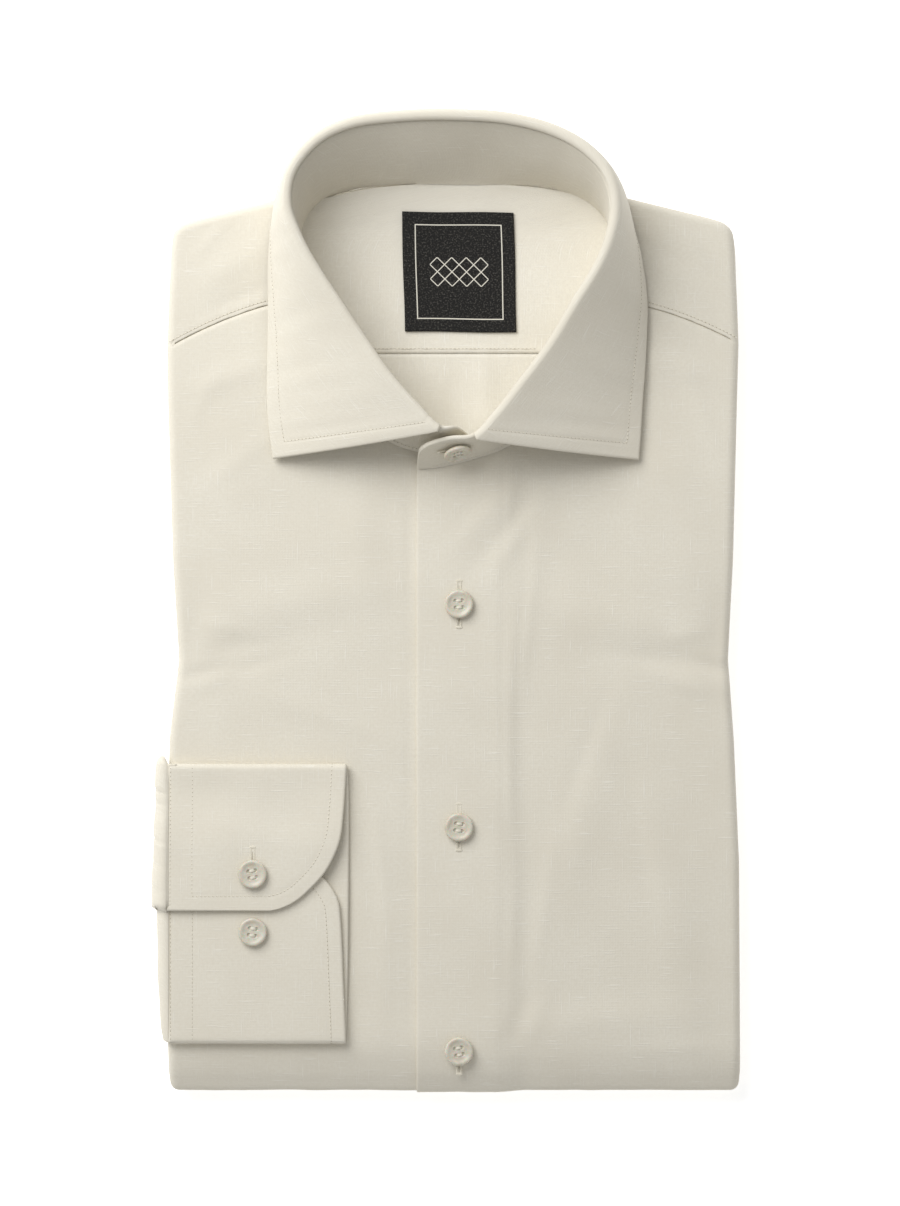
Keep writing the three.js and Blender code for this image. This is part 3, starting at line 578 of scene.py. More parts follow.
def add_node(tree, kind, settings=None, links=None):
    """Adds a node, sets its properties and inputs, and links inputs to other nodes' outputs."""
    node = tree.nodes.new(kind)
    for key, value in (settings or {}).items():
        if isinstance(key, str) and hasattr(node, key):
            setattr(node, key, value)
        else:
            node.inputs[key].default_value = value
    for key, output in (links or {}).items():
        tree.links.new(output, node.inputs[key])
    return node


def new_material(name):
    """Empty node material and its tree."""
    material = bpy.data.materials.new(name)
    material.use_nodes = True
    material.node_tree.nodes.clear()
    return material, material.node_tree


def maths(tree, operation, *values):
    """Math node on numbers or other nodes' outputs, in order; gives its own output."""
    node = add_node(tree, "ShaderNodeMath", {"operation": operation})
    for socket, value in zip(node.inputs, values):
        if isinstance(value, (int, float)):
            socket.default_value = value
        else:
            tree.links.new(value, socket)
    return node.outputs[0]


# Slubs along and across: scale and shift of their noise, and the least value that shows
SLUBS = (((1 / 0.012, 1 / 0.00055, 1), 3.0, 0.67), ((1 / 0.0006, 1 / 0.014, 1), 9.0, 0.7))


def woven_linen(name, colour, shade, pale):
    """Plain-weave linen, washed and pressed: matt, with an even grid of threads and short thicker yarns
    (slubs) both ways. Real shirting has a thread every 0.45 mm; it is drawn coarser so that it shows."""
    material, tree = new_material(name)
    metres = add_node(tree, "ShaderNodeTexCoord").outputs["UV"]
    # weave: a band texture repeats every 0.314 / Scale metres
    bands = 0.314 / bpy.context.scene.shirt_sizes.thread_spacing
    weave = []
    for direction in ("X", "Y"):
        wave = add_node(tree, "ShaderNodeTexWave",
                        {"wave_type": "BANDS", "bands_direction": direction, "wave_profile": "SIN",
                         "Scale": bands, "Distortion": 0.7, "Detail": 1.0, "Detail Scale": 0.3},
                        {"Vector": metres})
        weave.append(wave.outputs["Fac"])
    threads = maths(tree, "MULTIPLY", *weave)
    # slubs: stretched noise whose peaks are streaks 5 to 15 mm long and 0.5 mm wide
    slubs = []
    for scale, shift, least in SLUBS:
        place = add_node(tree, "ShaderNodeMapping", {"Scale": scale, "Location": (shift, shift, 0)},
                         {"Vector": metres})
        streak = add_node(tree, "ShaderNodeTexNoise",
                          {"noise_dimensions": "2D", "Scale": 1.0, "Detail": 1.0, "Roughness": 0.4},
                          {"Vector": place.outputs["Vector"]})
        slubs.append(add_node(tree, "ShaderNodeMapRange", {"From Min": least, "From Max": least + 0.12},
                              {"Value": streak.outputs["Fac"]}).outputs["Result"])
    slub = maths(tree, "MAXIMUM", *slubs)
    cloud = add_node(tree, "ShaderNodeTexNoise", {"Scale": 26.0, "Detail": 3.0, "Roughness": 0.55},
                     {"Vector": metres})
    cloudy = add_node(tree, "ShaderNodeMapRange", {"From Min": 0.34, "From Max": 0.7, "To Max": 0.55},
                      {"Value": cloud.outputs["Fac"]})
    grain = add_node(tree, "ShaderNodeTexNoise", {"Scale": 760.0, "Detail": 2.0, "Roughness": 0.6},
                     {"Vector": metres})
    grainy = add_node(tree, "ShaderNodeMapRange", {"From Min": 0.3, "From Max": 0.75, "To Max": 0.6},
                      {"Value": grain.outputs["Fac"]})
    mottled = add_node(tree, "ShaderNodeMix", {"data_type": "RGBA", 6: linear(colour), 7: linear(shade)},
                       {0: cloudy.outputs["Result"]})
    grained = add_node(tree, "ShaderNodeMix", {"data_type": "RGBA", 7: linear(shade)},
                       {0: grainy.outputs["Result"], 6: mottled.outputs[2]})
    faint = maths(tree, "MULTIPLY", slub, 0.42)
    tinted = add_node(tree, "ShaderNodeMix", {"data_type": "RGBA", 7: linear(pale)},
                      {0: faint, 6: grained.outputs[2]})
    raised = maths(tree, "MULTIPLY_ADD", threads, 0.45, slub)
    high = maths(tree, "MULTIPLY_ADD", grain.outputs["Fac"], 0.5, raised)
    bump = add_node(tree, "ShaderNodeBump", {"Strength": 0.5, "Distance": 0.0001}, {"Height": high})
    shader = add_node(tree, "ShaderNodeBsdfPrincipled",
                      {"Roughness": 0.9, "Sheen Weight": 0.12, "Sheen Roughness": 0.55,
                       "Specular IOR Level": 0.2},
                      {"Base Color": tinted.outputs[2], "Normal": bump.outputs["Normal"]})
    add_node(tree, "ShaderNodeOutputMaterial", {}, {"Surface": shader.outputs["BSDF"]})
    return material


def spun_thread(name, colour):
    """Mercerised cotton sewing thread: smooth, a little brighter than the cloth, with a faint twist."""
    material, tree = new_material(name)
    place = add_node(tree, "ShaderNodeTexCoord")
    twist = add_node(tree, "ShaderNodeTexNoise", {"Scale": 1600.0, "Detail": 1.0},
                     {"Vector": place.outputs["Object"]})
    bump = add_node(tree, "ShaderNodeBump", {"Strength": 0.3, "Distance": 0.0002},
                    {"Height": twist.outputs["Fac"]})
    shader = add_node(tree, "ShaderNodeBsdfPrincipled",
                      {"Base Color": linear(colour), "Roughness": 0.6, "Sheen Weight": 0.2},
                      {"Normal": bump.outputs["Normal"]})
    add_node(tree, "ShaderNodeOutputMaterial", {}, {"Surface": shader.outputs["BSDF"]})
    return material


def polished_polyester(name, colour, pale):
    """Pearl-look polyester button stock, turned and tumbled: cloudy cream with a soft polish."""
    material, tree = new_material(name)
    place = add_node(tree, "ShaderNodeTexCoord")
    cloud = add_node(tree, "ShaderNodeTexNoise", {"Scale": 240.0, "Detail": 3.0, "Distortion": 1.5},
                     {"Vector": place.outputs["Object"]})
    spread = add_node(tree, "ShaderNodeMapRange", {"From Min": 0.35, "From Max": 0.68},
                      {"Value": cloud.outputs["Fac"]})
    tint = add_node(tree, "ShaderNodeMix", {"data_type": "RGBA", 6: linear(colour), 7: linear(pale)},
                    {0: spread.outputs["Result"]})
    shader = add_node(tree, "ShaderNodeBsdfPrincipled",
                      {"Roughness": 0.38, "IOR": 1.5, "Coat Weight": 0.12, "Coat Roughness": 0.2,
                       "Subsurface Weight": 0.25, "Subsurface Scale": 0.002}, {"Base Color": tint.outputs[2]})
    add_node(tree, "ShaderNodeOutputMaterial", {}, {"Surface": shader.outputs["BSDF"]})
    return material


# Pattern of the label, in metres from its middle: border lines and their half width, lozenges, their band
BORDER_AT, BORDER_REACH = {"X": 0.0172, "Y": 0.0188}, {"X": 0.0174, "Y": 0.0190}
BORDER_HALF = 0.00022
LOZENGE, LOZENGE_HALF = 0.0058, 0.00026
BAND_WIDE, BAND_TALL = 0.0116, 0.0058


def woven_label(name, ground, yarn):
    """Black damask label: fine satin ground with a cream border line and a band of small lozenges."""
    material, tree = new_material(name)
    uv = add_node(tree, "ShaderNodeTexCoord")
    ribs = add_node(tree, "ShaderNodeTexWave", {"bands_direction": "Y", "Scale": 390.0, "Distortion": 0.6},
                    {"Vector": uv.outputs["UV"]})
    centred = add_node(tree, "ShaderNodeVectorMath", {"operation": "ABSOLUTE"}, {0: uv.outputs["UV"]})
    axes = add_node(tree, "ShaderNodeSeparateXYZ", {}, {0: centred.outputs[0]}).outputs
    lines = []
    for axis, other in (("X", "Y"), ("Y", "X")):
        off = maths(tree, "ABSOLUTE", maths(tree, "SUBTRACT", axes[axis], BORDER_AT[axis]))
        lines.append(maths(tree, "MULTIPLY", maths(tree, "LESS_THAN", off, BORDER_HALF),
                           maths(tree, "LESS_THAN", axes[other], BORDER_REACH[other])))
    border = maths(tree, "MAXIMUM", *lines)
    # lozenges: the sum of the two distances from the nearest cell centre, kept to the middle of the label
    cell = [maths(tree, "PINGPONG", axes[axis], LOZENGE / 2) for axis in ("X", "Y")]
    size = maths(tree, "ABSOLUTE", maths(tree, "SUBTRACT", maths(tree, "ADD", *cell), LOZENGE / 2))
    band = maths(tree, "MULTIPLY", maths(tree, "LESS_THAN", axes["X"], BAND_WIDE),
                 maths(tree, "LESS_THAN", axes["Y"], BAND_TALL))
    motif = maths(tree, "MULTIPLY", maths(tree, "LESS_THAN", size, LOZENGE_HALF), band)
    woven = maths(tree, "MAXIMUM", border, motif)
    # the cream yarn shows through the dark satin as faint specks
    specks = add_node(tree, "ShaderNodeTexNoise", {"Scale": 1500.0, "Detail": 1.0},
                      {"Vector": uv.outputs["UV"]})
    through_yarn = add_node(tree, "ShaderNodeMapRange", {"From Min": 0.52, "From Max": 0.75, "To Max": 0.09},
                            {"Value": specks.outputs["Fac"]})
    shown = maths(tree, "MAXIMUM", woven, through_yarn.outputs["Result"])
    tint = add_node(tree, "ShaderNodeMix", {"data_type": "RGBA", 6: linear(ground), 7: linear(yarn)},
                    {0: shown})
    raised = maths(tree, "MULTIPLY_ADD", ribs.outputs["Fac"], 0.25, woven)
    bump = add_node(tree, "ShaderNodeBump", {"Strength": 0.4, "Distance": 0.0002}, {"Height": raised})
    shader = add_node(tree, "ShaderNodeBsdfPrincipled", {"Roughness": 0.7, "Specular IOR Level": 0.25},
                      {"Base Color": tint.outputs[2], "Normal": bump.outputs["Normal"]})
    add_node(tree, "ShaderNodeOutputMaterial", {}, {"Surface": shader.outputs["BSDF"]})
    return material


def matt_paper(name, colour):
    """Seamless white background paper, lit through from below so that it stays white round the shirt."""
    material, tree = new_material(name)
    place = add_node(tree, "ShaderNodeTexCoord")
    grain = add_node(tree, "ShaderNodeTexNoise", {"Scale": 900.0}, {"Vector": place.outputs["Object"]})
    bump = add_node(tree, "ShaderNodeBump", {"Strength": 0.05, "Distance": 0.0001},
                    {"Height": grain.outputs["Fac"]})
    shader = add_node(tree, "ShaderNodeBsdfPrincipled",
                      {"Base Color": linear(colour), "Roughness": 0.95, "Emission Color": linear(colour),
                       "Emission Strength": bpy.context.scene.shirt_light.paper_glow},
                      {"Normal": bump.outputs["Normal"]})
    add_node(tree, "ShaderNodeOutputMaterial", {}, {"Surface": shader.outputs["BSDF"]})
    return material


LOOK = {}


def look(name):
    """Materials, each made once from the panel's colours."""
    tones = bpy.context.scene.shirt_colours
    makers = {
        "linen": lambda: woven_linen("Washed linen shirting", tones.linen, tones.linen_shade,
                                     tones.linen_pale),
        # inside: a paler, less yellow copy of the linen, painted light that lifts the collar's shade inside
        # the neck
        "inside": lambda: woven_linen("Linen inner side, painted lighter", tones.inside, tones.inside_shade,
                                      tones.inside_pale),
        "thread": lambda: spun_thread("Ecru sewing cotton", tones.thread),
        # painted shade: a dark thread colour for the shadow in the needle holes and the buttonhole slits
        "painted_needle_shade": lambda: spun_thread("Thread sunk in the cloth, in its own shadow", tones.needle_shade_colour),
        "button": lambda: polished_polyester("Pearl-look polyester", tones.button, tones.button_pale),
        "label": lambda: woven_label("Black woven label", tones.label, tones.label_yarn),
        "paper": lambda: matt_paper("White background paper", "#FFFFFF"),
    }
    if name not in LOOK:
        LOOK[name] = makers[name]()
    return LOOK[name]


# Pieces of cloth, buttons and stitching


def seam_pucker(x, y):
    """Puckers and sunk stitching along both yoke seams: a narrow groove with small waves beside it."""
    total = np.zeros(np.broadcast(x, y).shape)
    for side in (-1, 1):
        neck = seam_at(YOKE_STATION[side])
        rim = RIM[0 if side < 0 else -1]
        t = (x - neck[0]) / (rim[0] - neck[0])
        line = neck[1] + (rim[1] - neck[1]) * t + YOKE_BOW * t * (1 - t)
        d = y - line
        along = np.abs(x)
        wave = np.sin(along / 1.15 + 1.3 * np.sin(along / 6)) + 0.7 * np.sin(along / 0.71 + 2 * side)
        on = smoothstep(t, -0.05, 0.03) * (1 - smoothstep(t, 1.0, 1.04))
        total += on * (0.06 * wave * bell(d, 4.5) - 0.14 * bell(d, 0.7)
                       - 0.12 * bell(d - 1.9, 0.5))
    return total


def front_grid(side, step):
    """One front as a grid: from its upper edge down the page, round the bottom fold and up underneath.

    Columns run from the free edge, which is turned under, across to the side and round the side fold; rows
    hold the edge tucked under the yoke, then y between the yoke seam and the bottom fold, then the fold's
    angle, then y underneath. Also gives its flat coordinates: x and y on top, runs round the folds."""
    lowest = BOTTOM_Y + FOLD_R
    edge = left_edge if side < 0 else right_edge
    inner = UNDERLAP_X if side < 0 else PLACKET_X
    upper = np.linspace(0, 1, int(250 / step) + 1)
    turn = np.linspace(0, np.pi, 23)[1:]
    under = np.linspace(0, 1, 41)[1:]
    across = np.linspace(0, 1, int(130 / step) + 1)
    rim_turn = np.linspace(0, np.pi, 13)[1:]
    rim_x = RIM[0 if side < 0 else -1][0]
    bend = 0.62
    # top of the bundle: each column runs from its own place on the upper edge
    y_side = front_top(side, np.array([rim_x]))[0]
    s, v = across[None, :], upper[:, None]
    y = np.broadcast_to(y_side + (lowest - y_side) * v, (len(upper), len(across)))
    for _ in range(3):
        x = inner + (edge(y) - side * EDGE_R - inner) * s
        top_y = front_top(side, x)
        y = top_y + (lowest - top_y) * v
    z = TOP + relief(x, y) + seam_pucker(x, y) + (lap(x) if side > 0 else 0)
    main = np.stack([x, y, z], -1)
    # the upper edge goes on under the yoke, below its cloth
    neck_x = seam_at(YOKE_STATION[side])[0]
    beyond = 0.04 + 0.96 * smoothstep(side * x[0], side * neck_x, side * neck_x + 5)
    tuck = np.array([[2.4, -1.05], [1.2, -1.0], [0.5, -0.85], [0.15, -0.4]])
    tucked = main[0] + np.stack([np.zeros((4, len(across))), tuck[:, :1] * beyond, tuck[:, 1:] * beyond], -1)
    main = np.concatenate([tucked, main])
    a = rim_turn[None, :]
    rim_y, rim_z = main[:, -1:, 1], main[:, -1:, 2]
    side_x = edge(rim_y) - side * EDGE_R + side * EDGE_R * np.sin(a)
    side_z = rim_z - EDGE_R * (1 - np.cos(a))
    fold = np.stack([side_x, np.broadcast_to(rim_y, side_x.shape), side_z], -1)
    back = fold[:, -1:] - np.array([side * EDGE_RETURN, 0, 0])
    # turned edge of the placket
    b = np.linspace(np.pi, 0, 8)[:-1][None, :]
    hem_x = main[:, :1, 0] - side * bend * np.sin(b)
    hem_z = main[:, :1, 2] - bend + bend * np.cos(b)
    hem = np.stack([hem_x, np.broadcast_to(main[:, :1, 1], hem_x.shape), hem_z], -1)
    facing = hem[:, :1] + np.array([side * 5.0, 0, 0.0])
    top = np.concatenate([facing, hem, main, fold, back], 1)
    # round the bottom fold and underneath, keeping each column's place across and depth
    last = top[-1]
    t = np.concatenate([turn / np.pi, np.ones(len(under))])[:, None]
    pull = smoothstep(side * (last[:, 0] - inner), 30, 100)[None, :]
    place = last[None, :, 0] - side * UNDER_INSET * t * pull
    if side < 0:
        limit = PLACKET_X - SEAM - 0.03 * (UNDERLAP_X - place)
        place = np.where(place > PLACKET_X - 6, np.minimum(place, limit), place)
    depth = TOP - droop(lowest) - last[None, :, 2]
    depth = depth + (lap(last[:, 0])[None, :] * t if side > 0 else 0)
    creased = 0.88 * ripple(place * 2.2, 60 * t + 0 * place) * np.sin(np.pi * t)
    angle = np.concatenate([turn, np.full(len(under), np.pi)])[:, None]
    radius = FOLD_R - depth + creased * (depth < 1.5)
    fold_y = lowest - radius * np.sin(angle)
    fold_z = FOLD_R + radius * np.cos(angle) - droop(fold_y) * np.maximum(np.cos(angle), 0) ** 2
    gone = np.concatenate([np.zeros(len(turn)), under])[:, None] * (TAIL_Y - lowest)
    # the tail's own side follows the side fold above it
    place = place + (edge(fold_y + gone) - edge(lowest)) * pull
    whole = np.concatenate([top, np.stack([place, fold_y + gone, fold_z], -1)], 0)
    first, last_flat, rows = hem.shape[1] + 1, hem.shape[1] + len(across), len(top) - 1
    return whole, flat_places(whole, first, last_flat, rows, side)


def flat_places(points, first, last, row, side):
    """Flat coordinates of a folded panel: x between two columns, carried on by run length beyond them, and y
    down to one row, carried on by run length below it."""
    across, down = run_lengths(points, 1), run_lengths(points, 0)
    u, v = points[..., 0].copy(), points[..., 1].copy()
    u[:, :first] = u[:, first:first + 1] - side * (across[:, first:first + 1] - across[:, :first])
    u[:, last:] = u[:, last:last + 1] + side * (across[:, last:] - across[:, last:last + 1])
    u[row:] = u[row]
    v[row:] = v[row] - (down[row:] - down[row])
    return np.stack([u, v], -1)


def build_front(side):
    """One front panel, on the button side (-1) or the buttonhole side (1)."""
    points, flat = front_grid(side, 1.4)
    name = "Front_button_cloth" if side < 0 else "Front_buttonhole_cloth"
    node = "front_button_side" if side < 0 else "front_buttonhole_side"
    piece = cloth(name, points, look("linen"), ply(), (60, points.shape[1] // 2, (0, 0, 1)), flat)
    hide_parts(node)
    return piece


def build_yoke():
    """Outer yoke: from the neck seam to the shoulder and side folds, and round them."""
    count = 330
    u = np.linspace(0, 1, count)
    place = u * (len(RIM) - 1)
    station = np.interp(place, np.arange(len(RIM)), SHOULDER["station"])
    neck = foot_at(station) + 0.2 * away_from_neck(seam_at, station)
    b = through(RIM, u)
    ahead = through(RIM, np.minimum(u + 0.01, 1))
    behind = through(RIM, np.maximum(u - 0.01, 0))
    out = np.stack([behind[:, 1] - ahead[:, 1], ahead[:, 0] - behind[:, 0], np.zeros(count)], -1)
    out /= np.linalg.norm(out, axis=1, keepdims=True)
    out[0] = (-1, 0, 0)
    out[-1] = (1, 0, 0)
    # behind the neck the strip is narrow, and its fold is tighter there
    fold_r = np.clip(np.sum((b - neck) * out, 1) - 0.3, 0.5, EDGE_R)
    start = b - fold_r[:, None] * out
    t = np.linspace(0, 1, 46)[None, :, None]
    flat = neck[:, None] + (start - neck)[:, None] * t
    # the two ends follow the yoke seams; the rows next to them ease back to straight lines
    for side, end in ((-1, 0), (1, count - 1)):
        line = yoke_seam(side, np.clip((flat[end, :, 0] - neck[end, 0]) / (b[end, 0] - neck[end, 0]), 0, 1))
        bow = np.maximum(line[:, 1] + SEAM / 2 - flat[end, :, 1], 0)
        near = np.abs(u - u[end])[:, None]
        flat[:, :, 1] += bow[None] * np.clip(1 - near / 0.1, 0, 1) ** 1.5
    x, y = flat[..., 0], flat[..., 1]
    flat[..., 2] = TOP + relief(x, y) + seam_pucker(x, y)
    a = np.linspace(0, np.pi, 15)[None, 1:, None]
    round_out = start[:, None] + (out * fold_r[:, None])[:, None] * np.sin(a)
    round_out[..., 2] = flat[:, -1:, 2] - fold_r[:, None] + fold_r[:, None] * np.cos(a[..., 0])
    points = np.concatenate([flat, round_out], 1)
    places = points[..., :2].copy()
    beyond = run_lengths(points, 1)[:, 46:] - run_lengths(points, 1)[:, 45:46]
    places[:, 46:] = places[:, 45:46] + out[:, None, :2] * beyond[..., None]
    piece = cloth("Outer_yoke_cloth", points, look("linen"), ply(), (count // 4, 20, (0, 0, 1)),
                  places, soft_edge=0.3)
    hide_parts("yoke_outer")
    return piece


def rounded(mid, thickness, free, edge=1.0, groove=None):
    """Two-ply piece with soft edges on a grid of middle points.

    Half thickness follows a quarter circle from zero at a free border to full at edge millimetres from it;
    groove takes some away along a stitch line. free names the borders: rows first and last, columns first
    and last. Returns the points of the outer and the inner face and the faces of the grid."""
    rows, cols = mid.shape[:2]
    normal = normals_of(mid)
    down = run_lengths(mid, 0)
    over = run_lengths(mid, 1)
    away = np.full((rows, cols), 1e3)
    for on, d in zip(free, (down, down[-1:] - down, over, over[:, -1:] - over)):
        if on:
            away = np.minimum(away, d)
    q = np.clip(1 - away / edge, 0, 1)
    half = thickness / 2 * np.sqrt(1 - q**2)
    if groove is not None:
        half = half - groove
    half = np.maximum(half, 0.0)[..., None]
    outer = mid + normal * half
    inner = mid - normal * half
    faces = grid_faces(rows, cols)
    return outer, inner, faces


def rounded_piece(name, mid, thickness, free, material, edge=1.0, groove=None, flat=None):
    """The closed skin of a two-ply piece as one object; both faces share their borders."""
    rows, cols = mid.shape[:2]
    outer, inner, faces = rounded(mid, thickness, free, edge, groove)
    if flat is None:
        flat = np.stack([run_lengths(mid, 0), run_lengths(mid, 1)], -1)
    uv = flat.reshape(-1, 2) / 1000
    count = rows * cols
    number = np.arange(count).reshape(rows, cols)
    rim = np.concatenate([number[0], number[1:, -1], number[-1, -2::-1], number[-2:0:-1, 0]])
    following = np.roll(rim, -1)
    side = np.stack([rim, following, following + count, rim + count], -1)
    # the first skin keeps the grid's own direction and the second is turned round
    whole = np.concatenate([faces, faces[:, ::-1] + count, side[:, ::-1]])
    vertices = np.concatenate([outer.reshape(-1, 3), inner.reshape(-1, 3)])
    piece = mesh_object(name, to_frame(vertices), whole, np.concatenate([uv, uv]))
    piece.data.materials.append(material)
    return piece


def easing(count, length):
    """Places from 0 to 1, closer together in the last millimetres at both ends."""
    ends = np.array([0, 0.12, 0.35, 0.7, 1.1, 1.6]) / length
    inner = np.linspace(ends[-1], 1 - ends[-1], count)
    return np.concatenate([ends[:-1], inner, 1 - ends[-2::-1]])


# Soft waves of the stand at the back: station, width and height
STAND_WAVES = ((13.1, 0.8, 0.7), (14.9, 0.8, -0.8), (17.4, 0.6, 0.5))


def stand_middle(station, t):
    """Middle surface of the collar stand at a station and at t from its foot (0) to its top (1): a straight
    band that bows inward, with soft waves at the back."""
    seam = foot_at(station)
    top = top_at(station)
    out = away_from_neck(seam_at, station)
    heights = [top_face(seam[..., 0] + out[..., 0] * d, seam[..., 1] + out[..., 1] * d)
               for d in (-1.4, 0, 1.4)]
    behind = smoothstep(station, 5.5, 8) * (1 - smoothstep(station, 19.5, 22))
    seam[..., 2] = np.max(heights, 0) - 0.1 - behind * lap(seam[..., 0])
    bow = 0.5 + 0.4 * smoothstep(station, 6.5, 9.5) * (1 - smoothstep(station, 18.5, 21.5))
    for at, width, height in STAND_WAVES:
        bow = bow + height * bell(station - at, width)
    middle = seam + (top - seam) * t[..., None]
    return middle - away_from_neck(top_at, station) * (bow * np.sin(np.pi * t))[..., None]


def build_stand():
    """Collar stand: a two-ply ribbon on the neck seam, its buttonhole end lapped over its button end."""
    length = 470.0
    u = easing(330, length)
    station = u * LAST_STATION
    near = np.minimum(u, 1 - u) * length
    lapped = u > 0.5
    corner = np.clip(1 - near / np.where(lapped, 9.0, 24.0), 0, 1)
    high = 1 - np.where(lapped, 0.42 * (1 - np.sqrt(1 - corner**2)), 0.5 * corner**1.8)
    low = 0.05 * corner**2 - 0.075 * smoothstep(station, 5.5, 8) * (1 - smoothstep(station, 19.5, 22))
    v = easing(20, 24.0)
    t = low[:, None] + (high - low)[:, None] * v[None, :]
    stations = np.broadcast_to(station[:, None], t.shape)
    mid = stand_middle(stations, t)
    mid[..., 0] -= 1.8 * smoothstep(stations, LAST_STATION - 0.5, LAST_STATION)
    mid[..., 2] += 0.12 * np.sin(stations * 5.1) * np.sin(stations * 1.7 + 1) * t
    rise = run_lengths(mid, 1)
    groove = 0.08 * bell(rise - 1.9, 0.55)
    thickness = two_ply() * (0.62 + 0.38 * smoothstep(station, 0.4, 2.2))[:, None]
    piece = rounded_piece("Collar_stand_cloth", mid, thickness, (True, True, False, True),
                          look("linen"), edge=0.9, groove=groove)
    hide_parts("collar_stand")
    return piece


def leaf_middle(station, v):
    """Middle surface of the leaf: v from 0 to 1 over the roll, and from 1 to 2 down the fall.

    The roll is part of a circle that leaves the stand's top edge inside and meets the straight fall to the
    leaf's own edge at a tangent; the fall bows outward a little."""
    top = top_at(station)
    top[..., 2] += SEAM + 0.8
    out = away_from_neck(top_at, station)
    beside = np.stack([-out[..., 1], out[..., 0], np.zeros(out.shape[:-1])], -1)
    reach = edge_at(station) - top
    o = np.sum(reach * out, -1) - ROLL_R
    across = np.sum(reach * beside, -1)
    height = reach[..., 2]
    leave = np.arctan2(height, o) + np.arccos(np.clip(ROLL_R / np.hypot(o, height), -1, 1))
    a = np.pi + (leave - np.pi) * np.clip(v, 0, 1)
    t = np.clip(v - 1, 0, 1)
    swell = LEAF_SWELL * np.sin(np.pi * t)
    from_o = ROLL_R + ROLL_R * np.cos(leave)
    from_z = ROLL_R * np.sin(leave)
    on_roll = v < 1
    out_by = np.where(on_roll, ROLL_R + ROLL_R * np.cos(a),
                      from_o + (o + ROLL_R - from_o) * t + swell * np.cos(leave))
    up_by = np.where(on_roll, ROLL_R * np.sin(a), from_z + (height - from_z) * t + swell * np.sin(leave))
    slide = np.where(on_roll, 0, across * t)
    return (top + out * out_by[..., None] + beside * slide[..., None]
            + np.stack([np.zeros_like(up_by), np.zeros_like(up_by), up_by], -1))


def leaf_grid():
    """Leaf grid with its waviness, shared by the cloth and its stitching."""
    u = easing(400, 620.0)
    station = LEAF_FROM + (LEAF_TO - LEAF_FROM) * u
    v = np.concatenate([np.linspace(0, 1, 15)[:-1], 1 + easing(44, 50.0)[5:]])
    stations, vs = np.broadcast_arrays(station[:, None], v[None, :])
    mid = leaf_middle(stations, vs)
    t = np.clip(vs - 1, 0, 1)
    wave = (0.35 * np.sin(stations * 2.3 + 0.6) * t + 0.2 * np.sin(stations * 5.7 + 2.0 * t)
            + 0.15 * np.sin(stations * 9.1 - 3 * t)) * np.sin(np.pi * np.clip(t, 0.02, 1) * 0.9)
    return mid + normals_of(mid) * (wave * 0.26)[..., None]


def leaf_groove(mid):
    """Sunk stitch line of the leaf, 6.2 mm in from its free borders."""
    down = run_lengths(mid, 0)
    over = run_lengths(mid, 1)
    away = np.minimum(np.minimum(down, down[-1:] - down), over[:, -1:] - over)
    return 0.16 * bell(away - LEAF_INSET, 0.6)


def build_leaf():
    """Collar leaf: rolls over the stand and falls to its own edge, stitched round inside it."""
    mid = leaf_grid()
    groove = leaf_groove(mid)
    piece = rounded_piece("Collar_leaf_cloth", mid, two_ply(), (True, True, True, True),
                          look("linen"), edge=0.95, groove=groove)
    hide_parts("collar_leaf")
    return piece


CUFF_END = table(("lap", "x"), [
    (0, -56), (0.0245, -47.9), (0.0568, -43), (0.081, -42), (0.192, -40.7), (0.287, -39.8),
    (0.3746, -39.2), (0.4637, -38.8), (0.7255, -38.8), (0.7657, -39.5), (0.8362, -40.6),
    (0.8806, -41.9), (0.9113, -44.6), (0.9378, -48.3), (0.9602, -53.1), (0.982, -59),
    (0.9946, -64.8), (1, -70.1),
])


def cuff_path():
    """Section of the cuff: y and z along the strip from under the flap to the upper flap's edge."""
    ply = 1.9
    back = TOP + SEAM + ply / 2 + 0.15
    under = back + ply + 0.5
    over = under + ply + SEAM + 0.1
    low_r, high_r = (under - back) / 2, (under + 0.3 - back) / 2
    low_y, high_y = CUFF_BOTTOM_Y + ply / 2 + low_r, CUFF_TOP_Y - 2.6
    t = lambda n: np.linspace(0, 1, n)[1:, None]
    first = np.array([[CUFF_UNDER_Y, under]])
    a = np.column_stack([CUFF_UNDER_Y + (low_y - CUFF_UNDER_Y) * t(50), np.full(49, under)])
    turn = t(13)[:, 0] * np.pi
    b = np.column_stack([low_y - low_r * np.sin(turn), back + low_r + low_r * np.cos(turn)])
    c = np.column_stack([low_y + (high_y - low_y) * t(80), np.full(79, back)])
    d = np.column_stack([high_y + high_r * np.sin(turn), back + high_r - high_r * np.cos(turn)])
    y = high_y + (CUFF_FLAP_Y - high_y) * t(56)[:, 0]
    e = np.column_stack([y, under + 0.3 + (over - under - 0.3)
                         * smoothstep(-y, -CUFF_TOP_Y + 8, -CUFF_UNDER_Y - 6)])
    return np.concatenate([first, a, b, c, d, e])


def cuff_grid():
    """Middle surface of the cuff: the strip's section swept from the left fold to its right-hand end. Also
    returns its flat coordinates, x across and the run along the strip."""
    path = cuff_path()
    run = run_lengths(path, 0)
    extra = np.array([0.1, 0.3, 0.6, 1.0])
    marks = np.unique(np.concatenate([run, extra, run[-1] - extra]))
    path = np.column_stack([np.interp(marks, run, path[:, 0]), np.interp(marks, run, path[:, 1])])
    share = marks / run[-1]
    left = CUFF_LEFT - 0.9 * smoothstep(share, 0.8, 0.95)
    s = easing(50, 70.0)[None, :]
    x = left[:, None] + (cuff_end(share) - left)[:, None] * s
    y = np.broadcast_to(path[:, :1], x.shape)
    z = path[:, 1:] + relief(x, y, fine=False)
    upper = smoothstep(share, 0.7, 0.76)[:, None]
    z = z + upper * flap_waves(x, y)
    flat = np.stack([x, np.broadcast_to(-marks[:, None], x.shape)], -1)
    return np.stack([x, y, z], -1), flat


